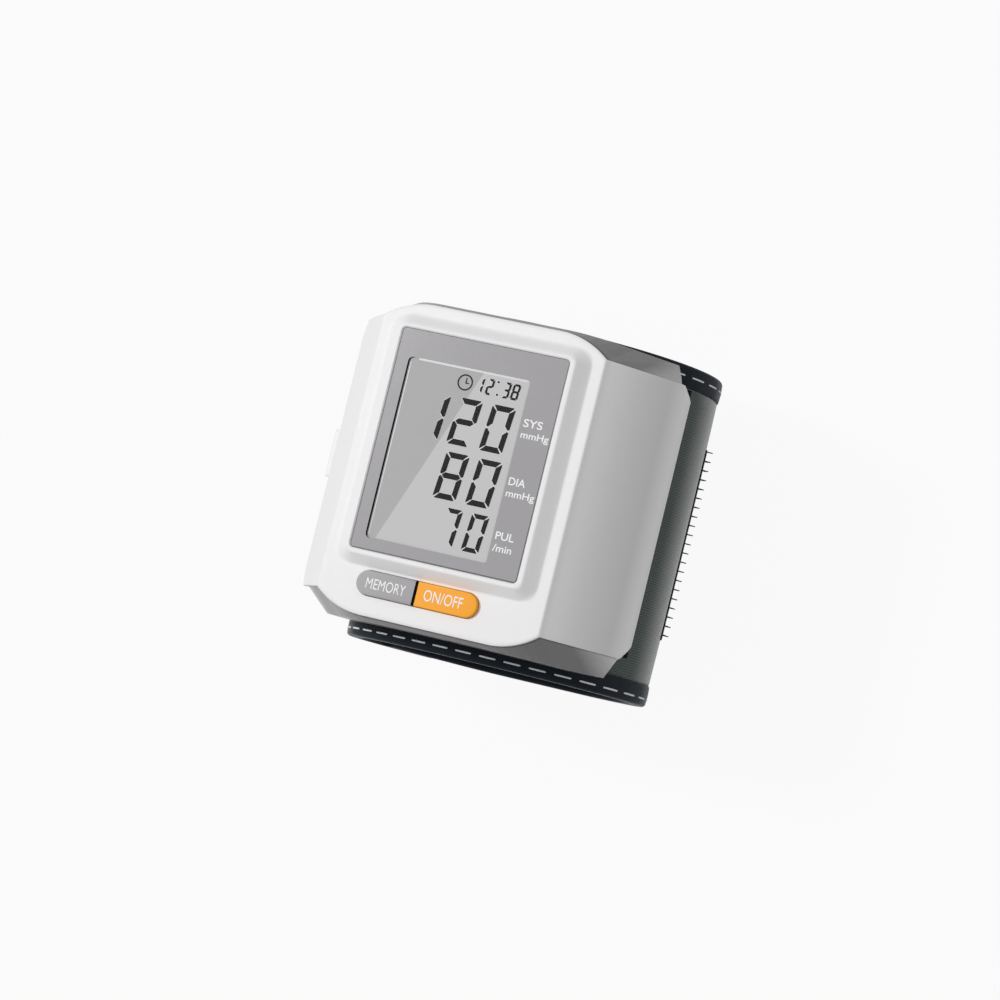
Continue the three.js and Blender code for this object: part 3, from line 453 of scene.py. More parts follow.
def displayLook(s):
    # pale liquid crystal grey, a little lighter towards the right, with a painted darker reflection over
    # its upper left
    look = Look("display", Specular_IOR_Level=0.05)
    x, y, z = look.place()
    (x1, y1), (x2, y2) = s.line
    length = math.hypot(x2 - x1, y2 - y1)
    side = ((x - x1 * mm) * (y2 - y1) - (y - y1 * mm) * (x2 - x1)) / length
    dim = look.spread(side, -s.blur * mm, s.blur * mm)
    low, high = s.fade
    fade = look.spread(x + 0.35 * y, low * mm, high * mm, 0.94, 1.05)
    lit = look.colour(fade - 0.5, shaded(s.lit, 0.94), shaded(s.lit, 1.05))
    return look.finish(look.colour(dim, lit, s.dim), 0.6 + 0.05 * look.noise(1500),
                       look.noise(6000), 0.001)


looks = {
    "window": panelLook(windowSettings), "display": displayLook(displaySettings),
    "board": boardLook(), "cell_jacket": jacketLook(),
    "lining": fleeceLook(), "binding": tapeLook(), "stitching": threadLook(),
}
for name, settings in shellSettings.items():
    looks[name] = shellLook(name, settings)
for name, row in plainSettings.items():
    looks[name] = plainLook(name, *row)
for name, row in clothSettings.items():
    looks[name] = clothLook(name, *row)

for name, node in nodes.items():
    node.data.materials.clear()
    node.data.materials.append(looks[slotOf[name]])
print("materials made:", len(looks))


# Sky and floor

floorSettings = Settings(
    sky=0.46,  # strength of the sky's light; the camera sees it at one
    tone=0.52,
    glow=0.93,  # share of the floor that the camera sees as plain white
    half=6, below=0.0002,  # metres
)


def makeSky(s):
    world = bpy.data.worlds.new("sky")
    bpy.context.scene.world = world
    sky = NodeSet(world)
    strength = sky.spread(sky.seen(), 0.0, 1.0, s.sky, 1.0)
    back = sky.term("ShaderNodeBackground", 0, {}, {"Color": (1, 1, 1, 1), "Strength": strength})
    sky.node("ShaderNodeOutputWorld", {}, {"Surface": back})


def makeFloor(s):
    # matt white; what the camera and the gloss see of it is lifted towards plain white
    look = Look("floor")
    plain = look.term("ShaderNodeBsdfDiffuse", 0, {}, {"Color": (*[s.tone] * 3, 1)})
    glow = look.term("ShaderNodeEmission", 0, {}, {"Color": (1, 1, 1, 1), "Strength": 1.0})
    share = look.seen() * s.glow
    look.feed(look.output.inputs[0], look.term("ShaderNodeMixShader", 0, {}, {0: share, 1: plain, 2: glow}))
    half, z = s.half, -s.below
    mesh = bpy.data.meshes.new("floor")
    corners = [(-half, -half, z), (half, -half, z), (half, half, z), (-half, half, z)]
    mesh.from_pydata(corners, [], [(0, 1, 2, 3)])
    mesh.materials.append(look.material)
    newObject("floor", mesh)


makeSky(floorSettings)
makeFloor(floorSettings)
print("sky and floor made")


# Mesh helpers

def pairs(first, second):
    # columns side by side: x and y, or a point and its height
    return np.column_stack([first, second])


def gridFaces(rows, columns, wrap=False):
    # quads between neighbours of a grid of points stored row by row; wrap closes each row
    r = np.arange(rows - 1)[:, None]
    c = np.arange(columns if wrap else columns - 1)[None, :]
    below, right = r + 1, (c + 1) % columns
    corners = [r * columns + c, r * columns + right, below * columns + right, below * columns + c]
    return np.stack(corners, -1).reshape(-1, 4)


def skin(rings):
    # a closed skin through rings of equal count, with a fan over each end
    rows, columns = rings.shape[:2]
    points = np.vstack([rings.reshape(-1, 3), rings[0].mean(0), rings[-1].mean(0)])
    k = np.arange(columns)
    following = (k + 1) % columns
    first, top = rows * columns, (rows - 1) * columns
    fans = np.vstack([
        np.stack([np.full(columns, first), following, k], -1),
        np.stack([np.full(columns, first + 1), top + k, top + following], -1),
    ])
    return points, gridFaces(rows, columns, True).tolist() + fans.tolist()


def joined(skins):
    # several closed skins as the points and faces of one mesh
    points, faces, start = [], [], 0
    for part, partFaces in skins:
        points.append(part)
        faces += [[i + start for i in face] for face in partFaces]
        start += len(part)
    return np.vstack(points), faces


def settle(piece, body, stands=()):
    # the piece rides on a body if one is given, and may stand for nodes, which are hidden
    if body:
        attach(piece, body)
    if stands:
        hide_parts(*stands)
    return piece


def addObject(name, shape, look):
    # a shape is points in millimetres and faces, which are turned outwards if they face inwards
    points, faces = shape
    mesh = bpy.data.meshes.new(name)
    mesh.from_pydata((points * mm).tolist(), [], faces)
    form = bmesh.new()
    form.from_mesh(mesh)
    if form.calc_volume(signed=True) < 0:
        bmesh.ops.reverse_faces(form, faces=form.faces)
        form.to_mesh(mesh)
    form.free()
    mesh.materials.append(looks[look])
    return newObject(name, mesh)


def resultOf(piece):
    # the mesh that a piece's modifiers or letters come to
    depsgraph = bpy.context.evaluated_depsgraph_get()
    return bpy.data.meshes.new_from_object(piece.evaluated_get(depsgraph))


def smoothed(mesh, crease):
    mesh.shade_smooth()
    mesh.set_sharp_from_angle(angle=math.radians(crease))


def addPiece(name, shape, look, body="monitor", stands=(), uv=None, crease=None):
    # flat faces, or smooth ones up to the crease's angle
    piece = addObject(name, shape, look)
    mesh = piece.data
    if uv is not None:
        layer = mesh.uv_layers.new(name="cloth")
        corners = np.zeros(len(mesh.loops), np.int32)
        mesh.loops.foreach_get("vertex_index", corners)
        layer.data.foreach_set("uv", np.asarray(uv, np.float32)[corners].ravel())
    if crease:
        smoothed(mesh, crease)
    return settle(piece, body, stands)


def addCutPiece(name, shape, slot, node, holes, crease):
    # a piece with closed shapes taken out of it, whose result is kept as its own mesh
    piece = addObject(name, shape, slot)
    cutters = [addObject(f"cutter{k}", hole, slot) for k, hole in enumerate(holes)]
    for cutter in cutters:
        cut = piece.modifiers.new(cutter.name, "BOOLEAN")
        cut.operation, cut.object, cut.solver = "DIFFERENCE", cutter, "EXACT"
    mesh = resultOf(piece)
    piece.modifiers.clear()
    piece.data = mesh
    for cutter in cutters:
        bpy.data.objects.remove(cutter)
    smoothed(mesh, crease)
    return settle(piece, "monitor", [node])


def levelAt(outline, z):
    # an outline of x and y, laid at one height over the deck
    flat = np.asarray(outline, float)
    return pairs(flat, np.full(len(flat), deckZ + z))


def prismOf(outline, low, high):
    # an outline carried up between two heights
    return skin(np.stack([levelAt(outline, low), levelAt(outline, high)]))


def roundedOutline(box, corner, steps):
    # anticlockwise points of a rectangle with round corners
    lowX, lowY, highX, highY = box
    turn = np.linspace(0, math.pi / 2, steps + 1)
    centres = [(highX - corner, highY - corner), (lowX + corner, highY - corner),
               (lowX + corner, lowY + corner), (highX - corner, lowY + corner)]
    return np.vstack([
        pairs(x + corner * np.cos(turn + k * math.pi / 2), y + corner * np.sin(turn + k * math.pi / 2))
        for k, (x, y) in enumerate(centres)
    ])


def roundedPrism(box, corner, levels, steps=3):
    # a rectangle with round corners carried up through levels, each a growth and a height
    return skin(np.stack([
        levelAt(roundedOutline(np.array(box) + np.array((-1, -1, 1, 1)) * grown, corner + grown, steps), z)
        for grown, z in levels
    ]))


# White cover with its raised display frame

coverSettings = Settings(
    deckHalf=23.9, deckEnd=31.1, shoulderStart=13.5, wingRun=11.9, wingDrop=19.6,
    wingEnd=27.4, wingCut=(34.4, 2.9), grow=0.3,
    wall=1.5, leastWall=0.2, skirt=0.84, skirtReach=0.31, lip=20.2,
    foldRound=0.14, endRoll=0.2, rollWidth=0.8, rollShare=0.995, wingBulge=0.6,
    frame=Settings(halfX=18.85, halfY=23.28, shift=3.48, slopeX=2.6, slopeY=2.0,
                   height=2.3, soft=0.05, corner=1.5),
    window=(-18.31, -18.76, 17.68, 25.91), windowCorner=0.85, windowFoot=0.6, flare=0.26,
    display=(-15.9, -17.0, 11.1, 21.0), displayCorner=0.3,
    buttonHole=(-15.7, -27.44, 10.5, -22.3), cutReach=9, crease=38,
    # the surface's lines: their steps, those added beside each fold, and those along the rim
    columnStep=0.5, rowStep=0.45, straight=26.2, endRows=13, endGap=0.2,
    near=(-0.3, -0.15, -0.07, 0, 0.07, 0.15, 0.3), rim=(0.62, 0.45, 0.3, 0.18, 0.08, 0.02, 0),
)


def coverEnd(x, s):
    # half length of the cover at x: straight, then a shoulder's arc, then the wing's cut corner
    drop = s.deckEnd - s.wingEnd
    run = s.deckHalf - s.shoulderStart
    radius = (run * run + drop * drop) / (2 * drop)
    along = np.clip(np.abs(x) - s.shoulderStart, 0, run)
    cutX, cutY = s.wingCut
    side = s.deckHalf + s.wingRun
    cut = np.clip((np.abs(x) - cutX) / (side - cutX), 0, 1) * cutY
    return s.deckEnd - (radius - np.sqrt(radius ** 2 - along ** 2)) - cut + s.grow


def coverHeight(x, y, s):
    # deck and wing joined by a soft minimum, the ends rolled down, and the frame raised on it
    over = np.abs(x) - s.deckHalf
    share = np.clip(over / s.wingRun, 0, 1)
    wing = -over * s.wingDrop / s.wingRun + s.wingBulge * np.sin(math.pi * share)
    z = 0.5 * (wing - np.sqrt(wing ** 2 + s.foldRound ** 2))
    fromEnd = np.clip(1 - (coverEnd(x, s) - np.abs(y)) / s.rollWidth, 0, 1)
    z = z - s.endRoll * (1 - np.sqrt(1 - (s.rollShare * fromEnd) ** 2))
    # the frame: one on its top, falling to zero at its foot, by distance from the top's outline
    f = s.frame
    u = np.abs(x) - f.halfX + f.corner
    v = np.abs(y - f.shift) - f.halfY + f.corner
    a, b = np.maximum(u, 0), np.maximum(v, 0)
    reach = np.hypot(a, b)
    outside = reach + np.minimum(np.maximum(u, v), 0) - f.corner
    tiny = 1e-9  # keeps the slope's width whole inside the top
    width = (f.slopeX * a ** 2 + f.slopeY * b ** 2 + tiny) / (reach ** 2 + tiny)
    t = 1 - outside / np.maximum(width, 1)
    rise = 0.5 * (1 + np.sqrt(t ** 2 + f.soft ** 2) - np.sqrt((t - 1) ** 2 + f.soft ** 2))
    return z, z + f.height * rise


def coverGrid(s):
    # columns of fixed x; rows run straight over the deck, and close to the two ends they
    # follow the outline
    f = s.frame
    side = s.deckHalf + s.wingRun
    near = np.array(s.near)
    folds = [fold + near for fold in (s.deckHalf, f.halfX, f.halfX + f.slopeX)]
    kinks = [s.shoulderStart, s.wingCut[0], s.wingCut[0] + 0.5, side]
    x = np.concatenate(folds + [kinks])
    even = np.linspace(-side, side, int(side * 2 / s.columnStep))
    x = np.unique(np.round(np.concatenate([even, x, -x]), 3))
    edges = [f.shift + way * (f.halfY + part * f.slopeY) for way in (-1, 1) for part in (0, 1)]
    rows = np.linspace(-1, 1, int(2 * s.straight / s.rowStep)) * s.straight
    rows = np.concatenate([rows] + [edge + near for edge in edges])
    rows = np.unique(np.round(rows[np.abs(rows) <= s.straight], 3))
    ends = coverEnd(x, s)
    limit = np.minimum(s.straight, ends - s.rollWidth - s.endGap)
    inner = rows[:, None] * (limit / s.straight)
    between = np.linspace(0, 1, s.endRows)[1:, None] * (ends - s.rollWidth - limit) + limit
    rim = ends - np.array(s.rim)[:, None]
    y = np.vstack([-rim[::-1], -between[::-1], inner, between, rim])
    return np.broadcast_to(x, y.shape), y


def makeCover(s):
    # the upper surface, an under side one wall below it, and a band that joins their borders
    x, y = coverGrid(s)
    base, top = coverHeight(x, y, s)
    over = np.abs(x) - s.deckHalf
    slant = np.hypot(s.wingRun, s.wingDrop) / s.wingRun
    thick = np.where(coverEnd(x, s) - np.abs(y) < s.skirtReach, s.skirt, s.wall)
    under = np.where(over > 0, thick * slant, thick)
    flat = np.minimum(0, -over * s.wingDrop / s.wingRun)
    low = np.minimum(np.maximum(flat - under, -s.lip), base - s.leastWall)
    points = np.stack([np.stack([x, y, z + deckZ], -1) for z in (top, low)]).reshape(-1, 3)
    rows, columns = y.shape
    faces, count = gridFaces(rows, columns), rows * columns
    r, c = np.arange(rows), np.arange(columns)
    border = np.concatenate([c, r[1:] * columns + columns - 1, (rows - 1) * columns + c[-2::-1],
                             r[-2:0:-1] * columns])
    following = np.roll(border, -1)
    walls = np.stack([border, border + count, following + count, following], -1)
    faces = np.vstack([faces, faces[:, ::-1] + count, walls]).tolist()
    hole, reach, bend = s.buttonHole, s.cutReach, s.frame.height - s.flare
    flared = ((0, s.windowFoot), (0, bend), (s.flare, bend + s.flare), (s.flare, reach))
    through = ((0, -reach), (0, reach))
    return addCutPiece("cover_shell", (points, faces), "white_shell", "front_cover", [
        roundedPrism(s.window, s.windowCorner, flared, 10),
        roundedPrism(s.display, s.displayCorner, through),
        roundedPrism(hole, (hole[3] - hole[1]) / 2, through, 24),
    ], s.crease)


cover = makeCover(coverSettings)
print("cover made with", len(cover.data.polygons), "faces")


# Buttons

buttonSettings = Settings(
    radius=2.47, rowY=-24.87, top=0.9, round=0.2, splitRound=0.3,
    crown=0.03, crownIn=0.6, arcSteps=33, roundSteps=7, crease=40,
    memory_button=Settings(side=-1, centre=-13.13, split=-3.18, stemX=-5.6),
    power_button=Settings(side=1, centre=7.93, split=-2.62, stemX=2.6),
    flangeTop=-1.8, flangeBottom=-2.5, overlap=0.2, lip=0.72,
    stemY=-22.57, stemBottom=-4.9, stemRadius=0.9, stemOverlap=0.1,
    rib=Settings(low=-3.15, high=-2.65, reach=2.42, foot=-1.6, top=0.93, corner=0.08),
)


def buttonRing(own, inset, z, s, splitInset=0.0):
    # half a stadium: its round end, then the straight edges to the split, which is rounded less
    side = own.side
    turn = np.linspace(-math.pi / 2, math.pi / 2, s.arcSteps) * side + (0 if side > 0 else math.pi)
    r = s.radius - inset
    arc = pairs(own.centre + r * np.cos(turn), s.rowY + r * np.sin(turn))
    edge = own.split + side * splitInset
    return levelAt(np.vstack([arc, [[edge, arc[-1, 1]], [edge, arc[0, 1]]]]), z)


def makeButton(name, s):
    # a cap with a rolled upper edge, a flange that is held under the cover, and a stem
    own = s[name]
    turn = np.linspace(0, math.pi / 2, s.roundSteps)[1:]
    insets = [0, 0, *(s.round * (1 - np.cos(turn))), s.round + s.crownIn]
    heights = [s.flangeTop - s.overlap, s.top - s.round,
               *(s.top - s.round * (1 - np.sin(turn))), s.top + s.crown]
    cap = skin(np.stack([buttonRing(own, inset, z, s, inset * s.splitRound)
                         for inset, z in zip(insets, heights)]))
    flange = skin(np.stack([buttonRing(own, -s.lip, z, s) for z in (s.flangeBottom, s.flangeTop)]))
    around = np.linspace(0, 2 * math.pi, 17)[:-1]
    circle = pairs(own.stemX + s.stemRadius * np.cos(around), s.stemY + s.stemRadius * np.sin(around))
    stem = prismOf(circle, s.stemBottom, s.flangeBottom + s.stemOverlap)
    slot = slotOf[name]
    addPiece(f"{name}_cap", joined([cap, flange, stem]), slot, name, [name], None, s.crease)


def makeRib(s):
    # a dark bar between the two buttons: the black frame seen through their slit, made darker with painted
    # shade
    rib = s.rib
    box = (rib.low, s.rowY - rib.reach, rib.high, s.rowY + rib.reach)
    addPiece("button_slit_shade", roundedPrism(box, rib.corner, ((0, rib.foot), (0, rib.top))),
             "groove")


makeButton("memory_button", buttonSettings)
makeButton("power_button", buttonSettings)
makeRib(buttonSettings)
print("buttons made")


# Window and display

def makeWindow(w):
    # a plate with a fine chamfer, hollowed from below where the display's picture stands in it
    levels = ((0, w.bottom), (0, w.top - w.edge), (-w.edge, w.top))
    pocket = roundedPrism(w.pocket, w.pocketCorner, ((0, w.pocketFoot), (0, w.pocketTop)))
    addCutPiece("window_plate", roundedPrism(w.outline, w.corner, levels, 8), "window",
                "display_lens", [pocket], w.crease)
    picture = roundedPrism(w.picture, w.pictureCorner, ((0, w.pictureFoot), (0, w.pictureTop)))
    addPiece("display_picture", picture, "display")


makeWindow(windowSettings)
print("window made")


# Words and figures

wordSettings = Settings(
    thick=0.03, windowTop=1.9, buttonTop=0.94, bold=0.012,
    # name, words, and box of low x, low y, high x, high y
    window=[
        ("label_systolic", "SYS", (11.17, 11.38, 15.2, 12.96)),
        ("label_systolic_unit", "mmHg", (11.17, 8.75, 17.08, 10.5)),
        ("label_diastolic", "DIA", (11.08, -0.29, 14.58, 1.25)),
        ("label_diastolic_unit", "mmHg", (11.08, -3.0, 17.08, -1.2)),
        ("label_pulse", "PUL", (11.08, -11.13, 15.0, -9.58)),
        ("label_pulse_unit", "/min", (11.05, -13.5, 15.05, -12.04)),
    ],
    memory_button=("word_memory", "MEMORY", (-13.4, -25.95, -4.9, -23.85)),
    power_button=("word_power", "ON/OFF", (-0.9, -25.9, 7.4, -23.65)),
)


def addWords(name, words, box, z, thick, bold, body, slot):
    # letters fitted to a box, made a mesh, and carried up by their thickness
    data = bpy.data.curves.new(name, "FONT")
    data.body = words
    data.resolution_u = 6
    data.offset = bold
    source = newObject(name + "_text", data)
    bpy.context.view_layer.update()
    mesh = resultOf(source)
    bpy.data.objects.remove(source)
    points = np.zeros(len(mesh.vertices) * 3)
    mesh.vertices.foreach_get("co", points)
    flat = points.reshape(-1, 3)[:, :2]
    low, high = flat.min(0), flat.max(0)
    lowCorner, highCorner = np.array(box).reshape(2, 2)
    fitted = levelAt(lowCorner + (flat - low) * (highCorner - lowCorner) / (high - low), z)
    mesh.vertices.foreach_set("co", (fitted * mm).ravel())
    form = bmesh.new()
    form.from_mesh(mesh)
    bmesh.ops.remove_doubles(form, verts=form.verts, dist=1e-7)
    form.normal_update()
    bmesh.ops.reverse_faces(form, faces=[face for face in form.faces if face.normal.z < 0])
    grown = bmesh.ops.extrude_face_region(form, geom=form.faces[:])
    raised = [part for part in grown["geom"] if isinstance(part, bmesh.types.BMVert)]
    bmesh.ops.translate(form, verts=raised, vec=(0, 0, thick * mm))
    bmesh.ops.recalc_face_normals(form, faces=form.faces)
    form.to_mesh(mesh)
    form.free()
    mesh.shade_flat()
    mesh.materials.clear()
    mesh.materials.append(looks["print"])
    settle(newObject(name, mesh), body)


def makeWords(s):
    for row in s.window:
        addWords(*row, s.windowTop, s.thick, s.bold, "monitor", "window")
    for button in ("memory_button", "power_button"):
        addWords(*s[button], s.buttonTop, s.thick, 0.0, button, slotOf[button])


makeWords(wordSettings)

figureSettings = Settings(
    # figure, low x, low y, width, height, stroke
    figures=[
        ("1", -10.58, 5.12, 4.87, 9.37, 1.05), ("2", -3.75, 5.12, 4.87, 9.37, 1.05),
        ("0", 3.25, 5.12, 4.96, 9.37, 1.05),
        ("8", -3.83, -5.79, 4.96, 9.37, 1.05), ("0", 3.17, -5.79, 5.04, 9.37, 1.05),
        ("7", -0.91, -14.8, 3.6, 7.63, 0.85), ("0", 4.63, -14.8, 3.73, 7.63, 0.85),
        ("1", -0.43, 16.0, 1.4, 3.22, 0.42), ("2", 1.67, 16.0, 1.42, 3.22, 0.42),
        ("3", 5.25, 16.0, 1.45, 3.22, 0.42), ("8", 7.06, 16.0, 1.6, 3.22, 0.42),
    ],
    slant=0.085, gap=0.24, gapPower=0.7, cut=0.36, mitre=0.32, swell=1.08, halo=0.13,
    dots=[(4.04, 18.88), (4.33, 16.4)], dotHalf=0.22, dotCorner=0.08,
    clock=Settings(centre=(-2.79, 17.5), radius=1.62, stroke=0.28, handCorner=0.05,
                   hands=[(0.06, -0.08, 0.28, 0.95), (0.06, -0.2, 0.8, 0.02)]),
    moved=(-0.04, 0.01), haloHeights=(1.76, 1.78), inkHeights=(1.79, 1.81),
)
segmentsOf = {"0": "abcdef", "1": "bc", "2": "abged", "3": "abgcd", "7": "abc", "8": "abcdefg"}


def segmentOutlines(width, height, stroke, gap, cut, mitre):
    # the seven bars of a figure with mitred ends and cut outer corners, from its low left corner
    w, h, t, g, c, k = width, height, stroke, gap / 2, cut, mitre
    m = h / 2
    top = [(c + g, h), (w - c - g, h), (w - c / 2 - g, h - c / 2 + g), (w - t - g, h - t),
           (t + g, h - t), (c / 2 + g, h - c / 2 + g)]
    left = [(0, h - c - g), (c / 2 - g, h - c / 2 - g), (t, h - t - g), (t, m + t - k + g), (k, m + g),
            (0, m + 0.6 * k + g)]
    return {
        "a": top, "d": [(x, h - y) for x, y in top],
        "f": left, "b": [(w - x, y) for x, y in left],
        "e": [(x, h - y) for x, y in left], "c": [(w - x, h - y) for x, y in left],
        "g": [(k + g, m), (k + g + t / 2, m + t / 2), (w - k - g - t / 2, m + t / 2),
              (w - k - g, m), (w - k - g - t / 2, m - t / 2), (k + g + t / 2, m - t / 2)],
    }


def grownOutline(outline, by):
    # each corner moved away from the middle
    centre = outline.mean(0)
    away = outline - centre
    return centre + away * (1 + by / np.linalg.norm(away, axis=1, keepdims=True))


def boxAround(x, y, half):
    return x - half, y - half, x + half, y + half


def makeFigures(s):
    # slanted seven segment figures, two dots and a clock sign, with a pale halo under the bars
    bars = []
    for figure, lowX, lowY, width, height, stroke in s.figures:
        stroke *= s.swell
        gap = s.gap * min(stroke, 1) ** s.gapPower
        shapes = segmentOutlines(width, height, stroke, gap, s.cut * stroke, s.mitre * stroke)
        for key in segmentsOf[figure]:
            x, y = np.array(shapes[key]).T
            bars.append(pairs(x + lowX + s.slant * y, y + lowY))
    bars += [roundedOutline(boxAround(x, y, s.dotHalf), s.dotCorner, 2) for x, y in s.dots]
    clock = s.clock
    centre = np.array(clock.centre)
    around = np.linspace(0, 2 * math.pi, 49)
    spokes = pairs(np.cos(around), np.sin(around))
    outer, inner = [centre + r * spokes for r in (clock.radius, clock.radius - clock.stroke)]
    marks = list(np.stack([outer[:-1], outer[1:], inner[1:], inner[:-1]], 1))
    marks += [roundedOutline(np.array(hand) + np.tile(centre, 2), clock.handCorner, 2)
              for hand in clock.hands]
    moved = np.array(s.moved)
    ink = joined([prismOf(part + moved, *s.inkHeights) for part in bars + marks])
    addPiece("figures", ink, "ink")
    halo = joined([prismOf(grownOutline(bar + moved, s.halo), *s.haloHeights) for bar in bars])
    addPiece("figure_halo", halo, "halo")


makeFigures(figureSettings)

stripSettings = {
    # look, slot, height over the deck, thickness, and each point's x, y and the strip's width
    # painted shadow: a dark line at the display's left edge, and a grey line under the window's rim along
    # its right and bottom edges; painted highlight: the light line of the display's bevel beside the left
    # one and above
    "window_groove": ("groove", "window", 1.89, 0.02, [
        (-14.55, 20.3, 0.04), (-15.05, 20.2, 0.12), (-15.38, 19.95, 0.26), (-15.5, 19.55, 0.34),
        (-15.5, 10, 0.36), (-15.5, 0, 0.36), (-15.5, -10, 0.36), (-15.5, -15.3, 0.34),
        (-15.4, -15.8, 0.28), (-15.1, -16.15, 0.14), (-14.6, -16.3, 0.05)]),
    # painted shadow under the window's rim
    "window_seam": ("seam", "window", 1.89, 0.015, [
        (17.42, 25.2, 0.05), (17.42, 0, 0.12), (17.42, -17.9, 0.13), (17.3, -18.35, 0.14),
        (16.9, -18.54, 0.12), (0, -18.54, 0.1), (-17.6, -18.54, 0.05)]),
    # painted highlight along the display's bevel
    "display_glint": ("bevel_glint", "display", 1.75, 0.025, [
        (-15.06, 19.4, 0.2), (-15.06, 10, 0.22), (-15.06, 0, 0.22), (-15.06, -15.4, 0.16)]),
    "display_top_glint": ("bevel_glint", "display", 1.75, 0.025, [
        (-13.5, 20.22, 0.4), (-10, 20.22, 0.42), (0, 20.22, 0.42), (10.1, 20.22, 0.4)]),
}


def makeStrip(name, look, slot, z, thick, path):
    # a flat ribbon along a path, half its width out to each side at each point
    x, y, width = np.array(path, float).T
    line = pairs(x, y)
    along = np.gradient(line, axis=0)
    along /= np.linalg.norm(along, axis=1, keepdims=True)
    across = pairs(-along[:, 1], along[:, 0]) * width[:, None] / 2
    left, right = line + across, line - across
    corners = [levelAt(left, z), levelAt(right, z), levelAt(right, z + thick), levelAt(left, z + thick)]
    addPiece(name, skin(np.stack(corners, 1)), look)


for name, row in stripSettings.items():
    makeStrip(name, *row)
print("words and figures made")


# Cuff

cuffSettings = Settings(
    # radius, flat, depths and lengths in millimetres; angles in degrees, 0 at +X and 90 at +Z
    radius=31.2, flat=29.2, flatSoft=0.2, flatReach=6, centreZ=30.0, shift=-0.8,
    half=34.2, cloth=0.8, clothOver=0.25, crown=0.12, lining=0.6, gap=0.3,
    former=1.0, start=167.6, end=-172.0, ease=1.2, step=1.0, crease=60,
    tips=(0.0, 0.06, 0.2, 0.5, 0.8), closed=0.98,  # an end's steps, and how far it rounds off
    tuckStart=-112.0, tuckEnd=-136.0, tuckDepth=2.8,
    # where the lining stands in over the bladder
    dipStart=162, dipEnd=12, dipEase=10, bladder=1.8,
    tape=Settings(width=4.4, fold=0.7, proud=0.2, deep=3.2, soft=0.2, swell=0.1, tuck=0.05),
)
cuffTape = cuffSettings.tape
tapeInner = cuffSettings.half - cuffTape.width
clothHalf = tapeInner - cuffSettings.gap


def cuffPoints(angles, depths, across, s=cuffSettings):
    # a point at an angle round the cuff and a depth under its outer cloth; the ring is flat
    # where it lies, and its end is tucked inwards under the flap
    angles, depths, across = np.broadcast_arrays(angles, depths, across)
    held = np.clip((s.tuckStart - angles) / (s.tuckStart - s.tuckEnd), 0, 1)
    radius = s.radius - s.tuckDepth * held * held * (3 - 2 * held) - depths
    turn = np.radians(angles)
    ring, floor = radius * np.sin(turn), depths - s.flat
    z = 0.5 * (ring + floor + np.sqrt((ring - floor) ** 2 + s.flatSoft))
    z = np.where(ring > floor + s.flatReach, ring, z)
    return np.stack([radius * np.cos(turn), across + s.shift, z + s.centreZ], -1)


def lengthAlong(line):
    # the distance from a line's first point to each of its points
    return np.concatenate([[0], np.cumsum(np.linalg.norm(np.diff(line, axis=0), axis=1))])


def bandRings(profile, start, end, ease, s=cuffSettings):
    # a closed profile of depth and y carried round the cuff; each end's thickness rounds off
    # over a short ease towards the profile's middle depth
    angles = np.linspace(start, end, max(int(abs(start - end) / s.step), 4))
    tips = np.array(s.tips) * ease * (1 if end > start else -1)
    angles = np.sort(np.concatenate([start + tips, angles[1:-1], end - tips]))
    if end < start:
        angles = angles[::-1]
    away = np.minimum(np.abs(angles - start), np.abs(angles - end)) / ease
    swell = np.sqrt(1 - (1 - np.clip(away, 0, 1)) ** 2 * s.closed)[:, None]
    middle = profile[:, 0].mean()
    depths = middle + (profile[:, 0] - middle) * swell
    return cuffPoints(angles[:, None], depths, profile[:, 1]), angles


def dipped(rings, angles, s=cuffSettings):
    # the lining stands in over the bladder and returns to the former past its ends
    share = np.minimum(s.dipStart - angles, angles - s.dipEnd) / s.dipEase
    depth = (s.bladder + s.gap) * np.clip(share, 0, 1)
    outwards = rings - np.array([0, 0, s.centreZ])
    outwards[..., 1] = 0
    return rings - outwards / np.linalg.norm(outwards, axis=-1, keepdims=True) * depth[:, None, None]


def bandPiece(name, node, profile, ends, body="monitor", look=None, reshape=None, s=cuffSettings):
    # ends are the start and end angle, and the ease over which they round off; the look is the
    # one of the node's slot, unless another is given
    rings, angles = bandRings(profile, *ends)
    if reshape:
        rings = reshape(rings, angles)
    run, girth = lengthAlong(cuffPoints(angles, 0, 0)), lengthAlong(profile)
    u, v = np.meshgrid(run, girth, indexing="ij")
    uv = np.vstack([np.stack([u, v], -1).reshape(-1, 2), [[run[0], 0], [run[-1], 0]]])
    slot = slotOf[node]
    return addPiece(name, skin(rings), look or slot, body, [node], uv, s.crease)


def slabProfile(outer, inner, half, crown=0.0, roundness=0.25, count=28):
    # across a flat band: a softly crowned outside, round edges and a plain inside
    y = np.linspace(roundness - half, half - roundness, count)
    outside = pairs(outer - crown * (1 - (y / half) ** 4), y)
    middle = (inner - outer) / 2
    turn = np.linspace(-math.pi / 2, math.pi / 2, 7)[1:-1]
    edge = half - roundness + roundness * np.cos(turn)
    highEdge = pairs(outer + middle + middle * np.sin(turn), edge)
    inside = pairs(np.full(count, inner), y[::-1])
    lowEdge = pairs(outer + middle - middle * np.sin(turn), -edge)
    return np.vstack([outside, highEdge, inside, lowEdge])


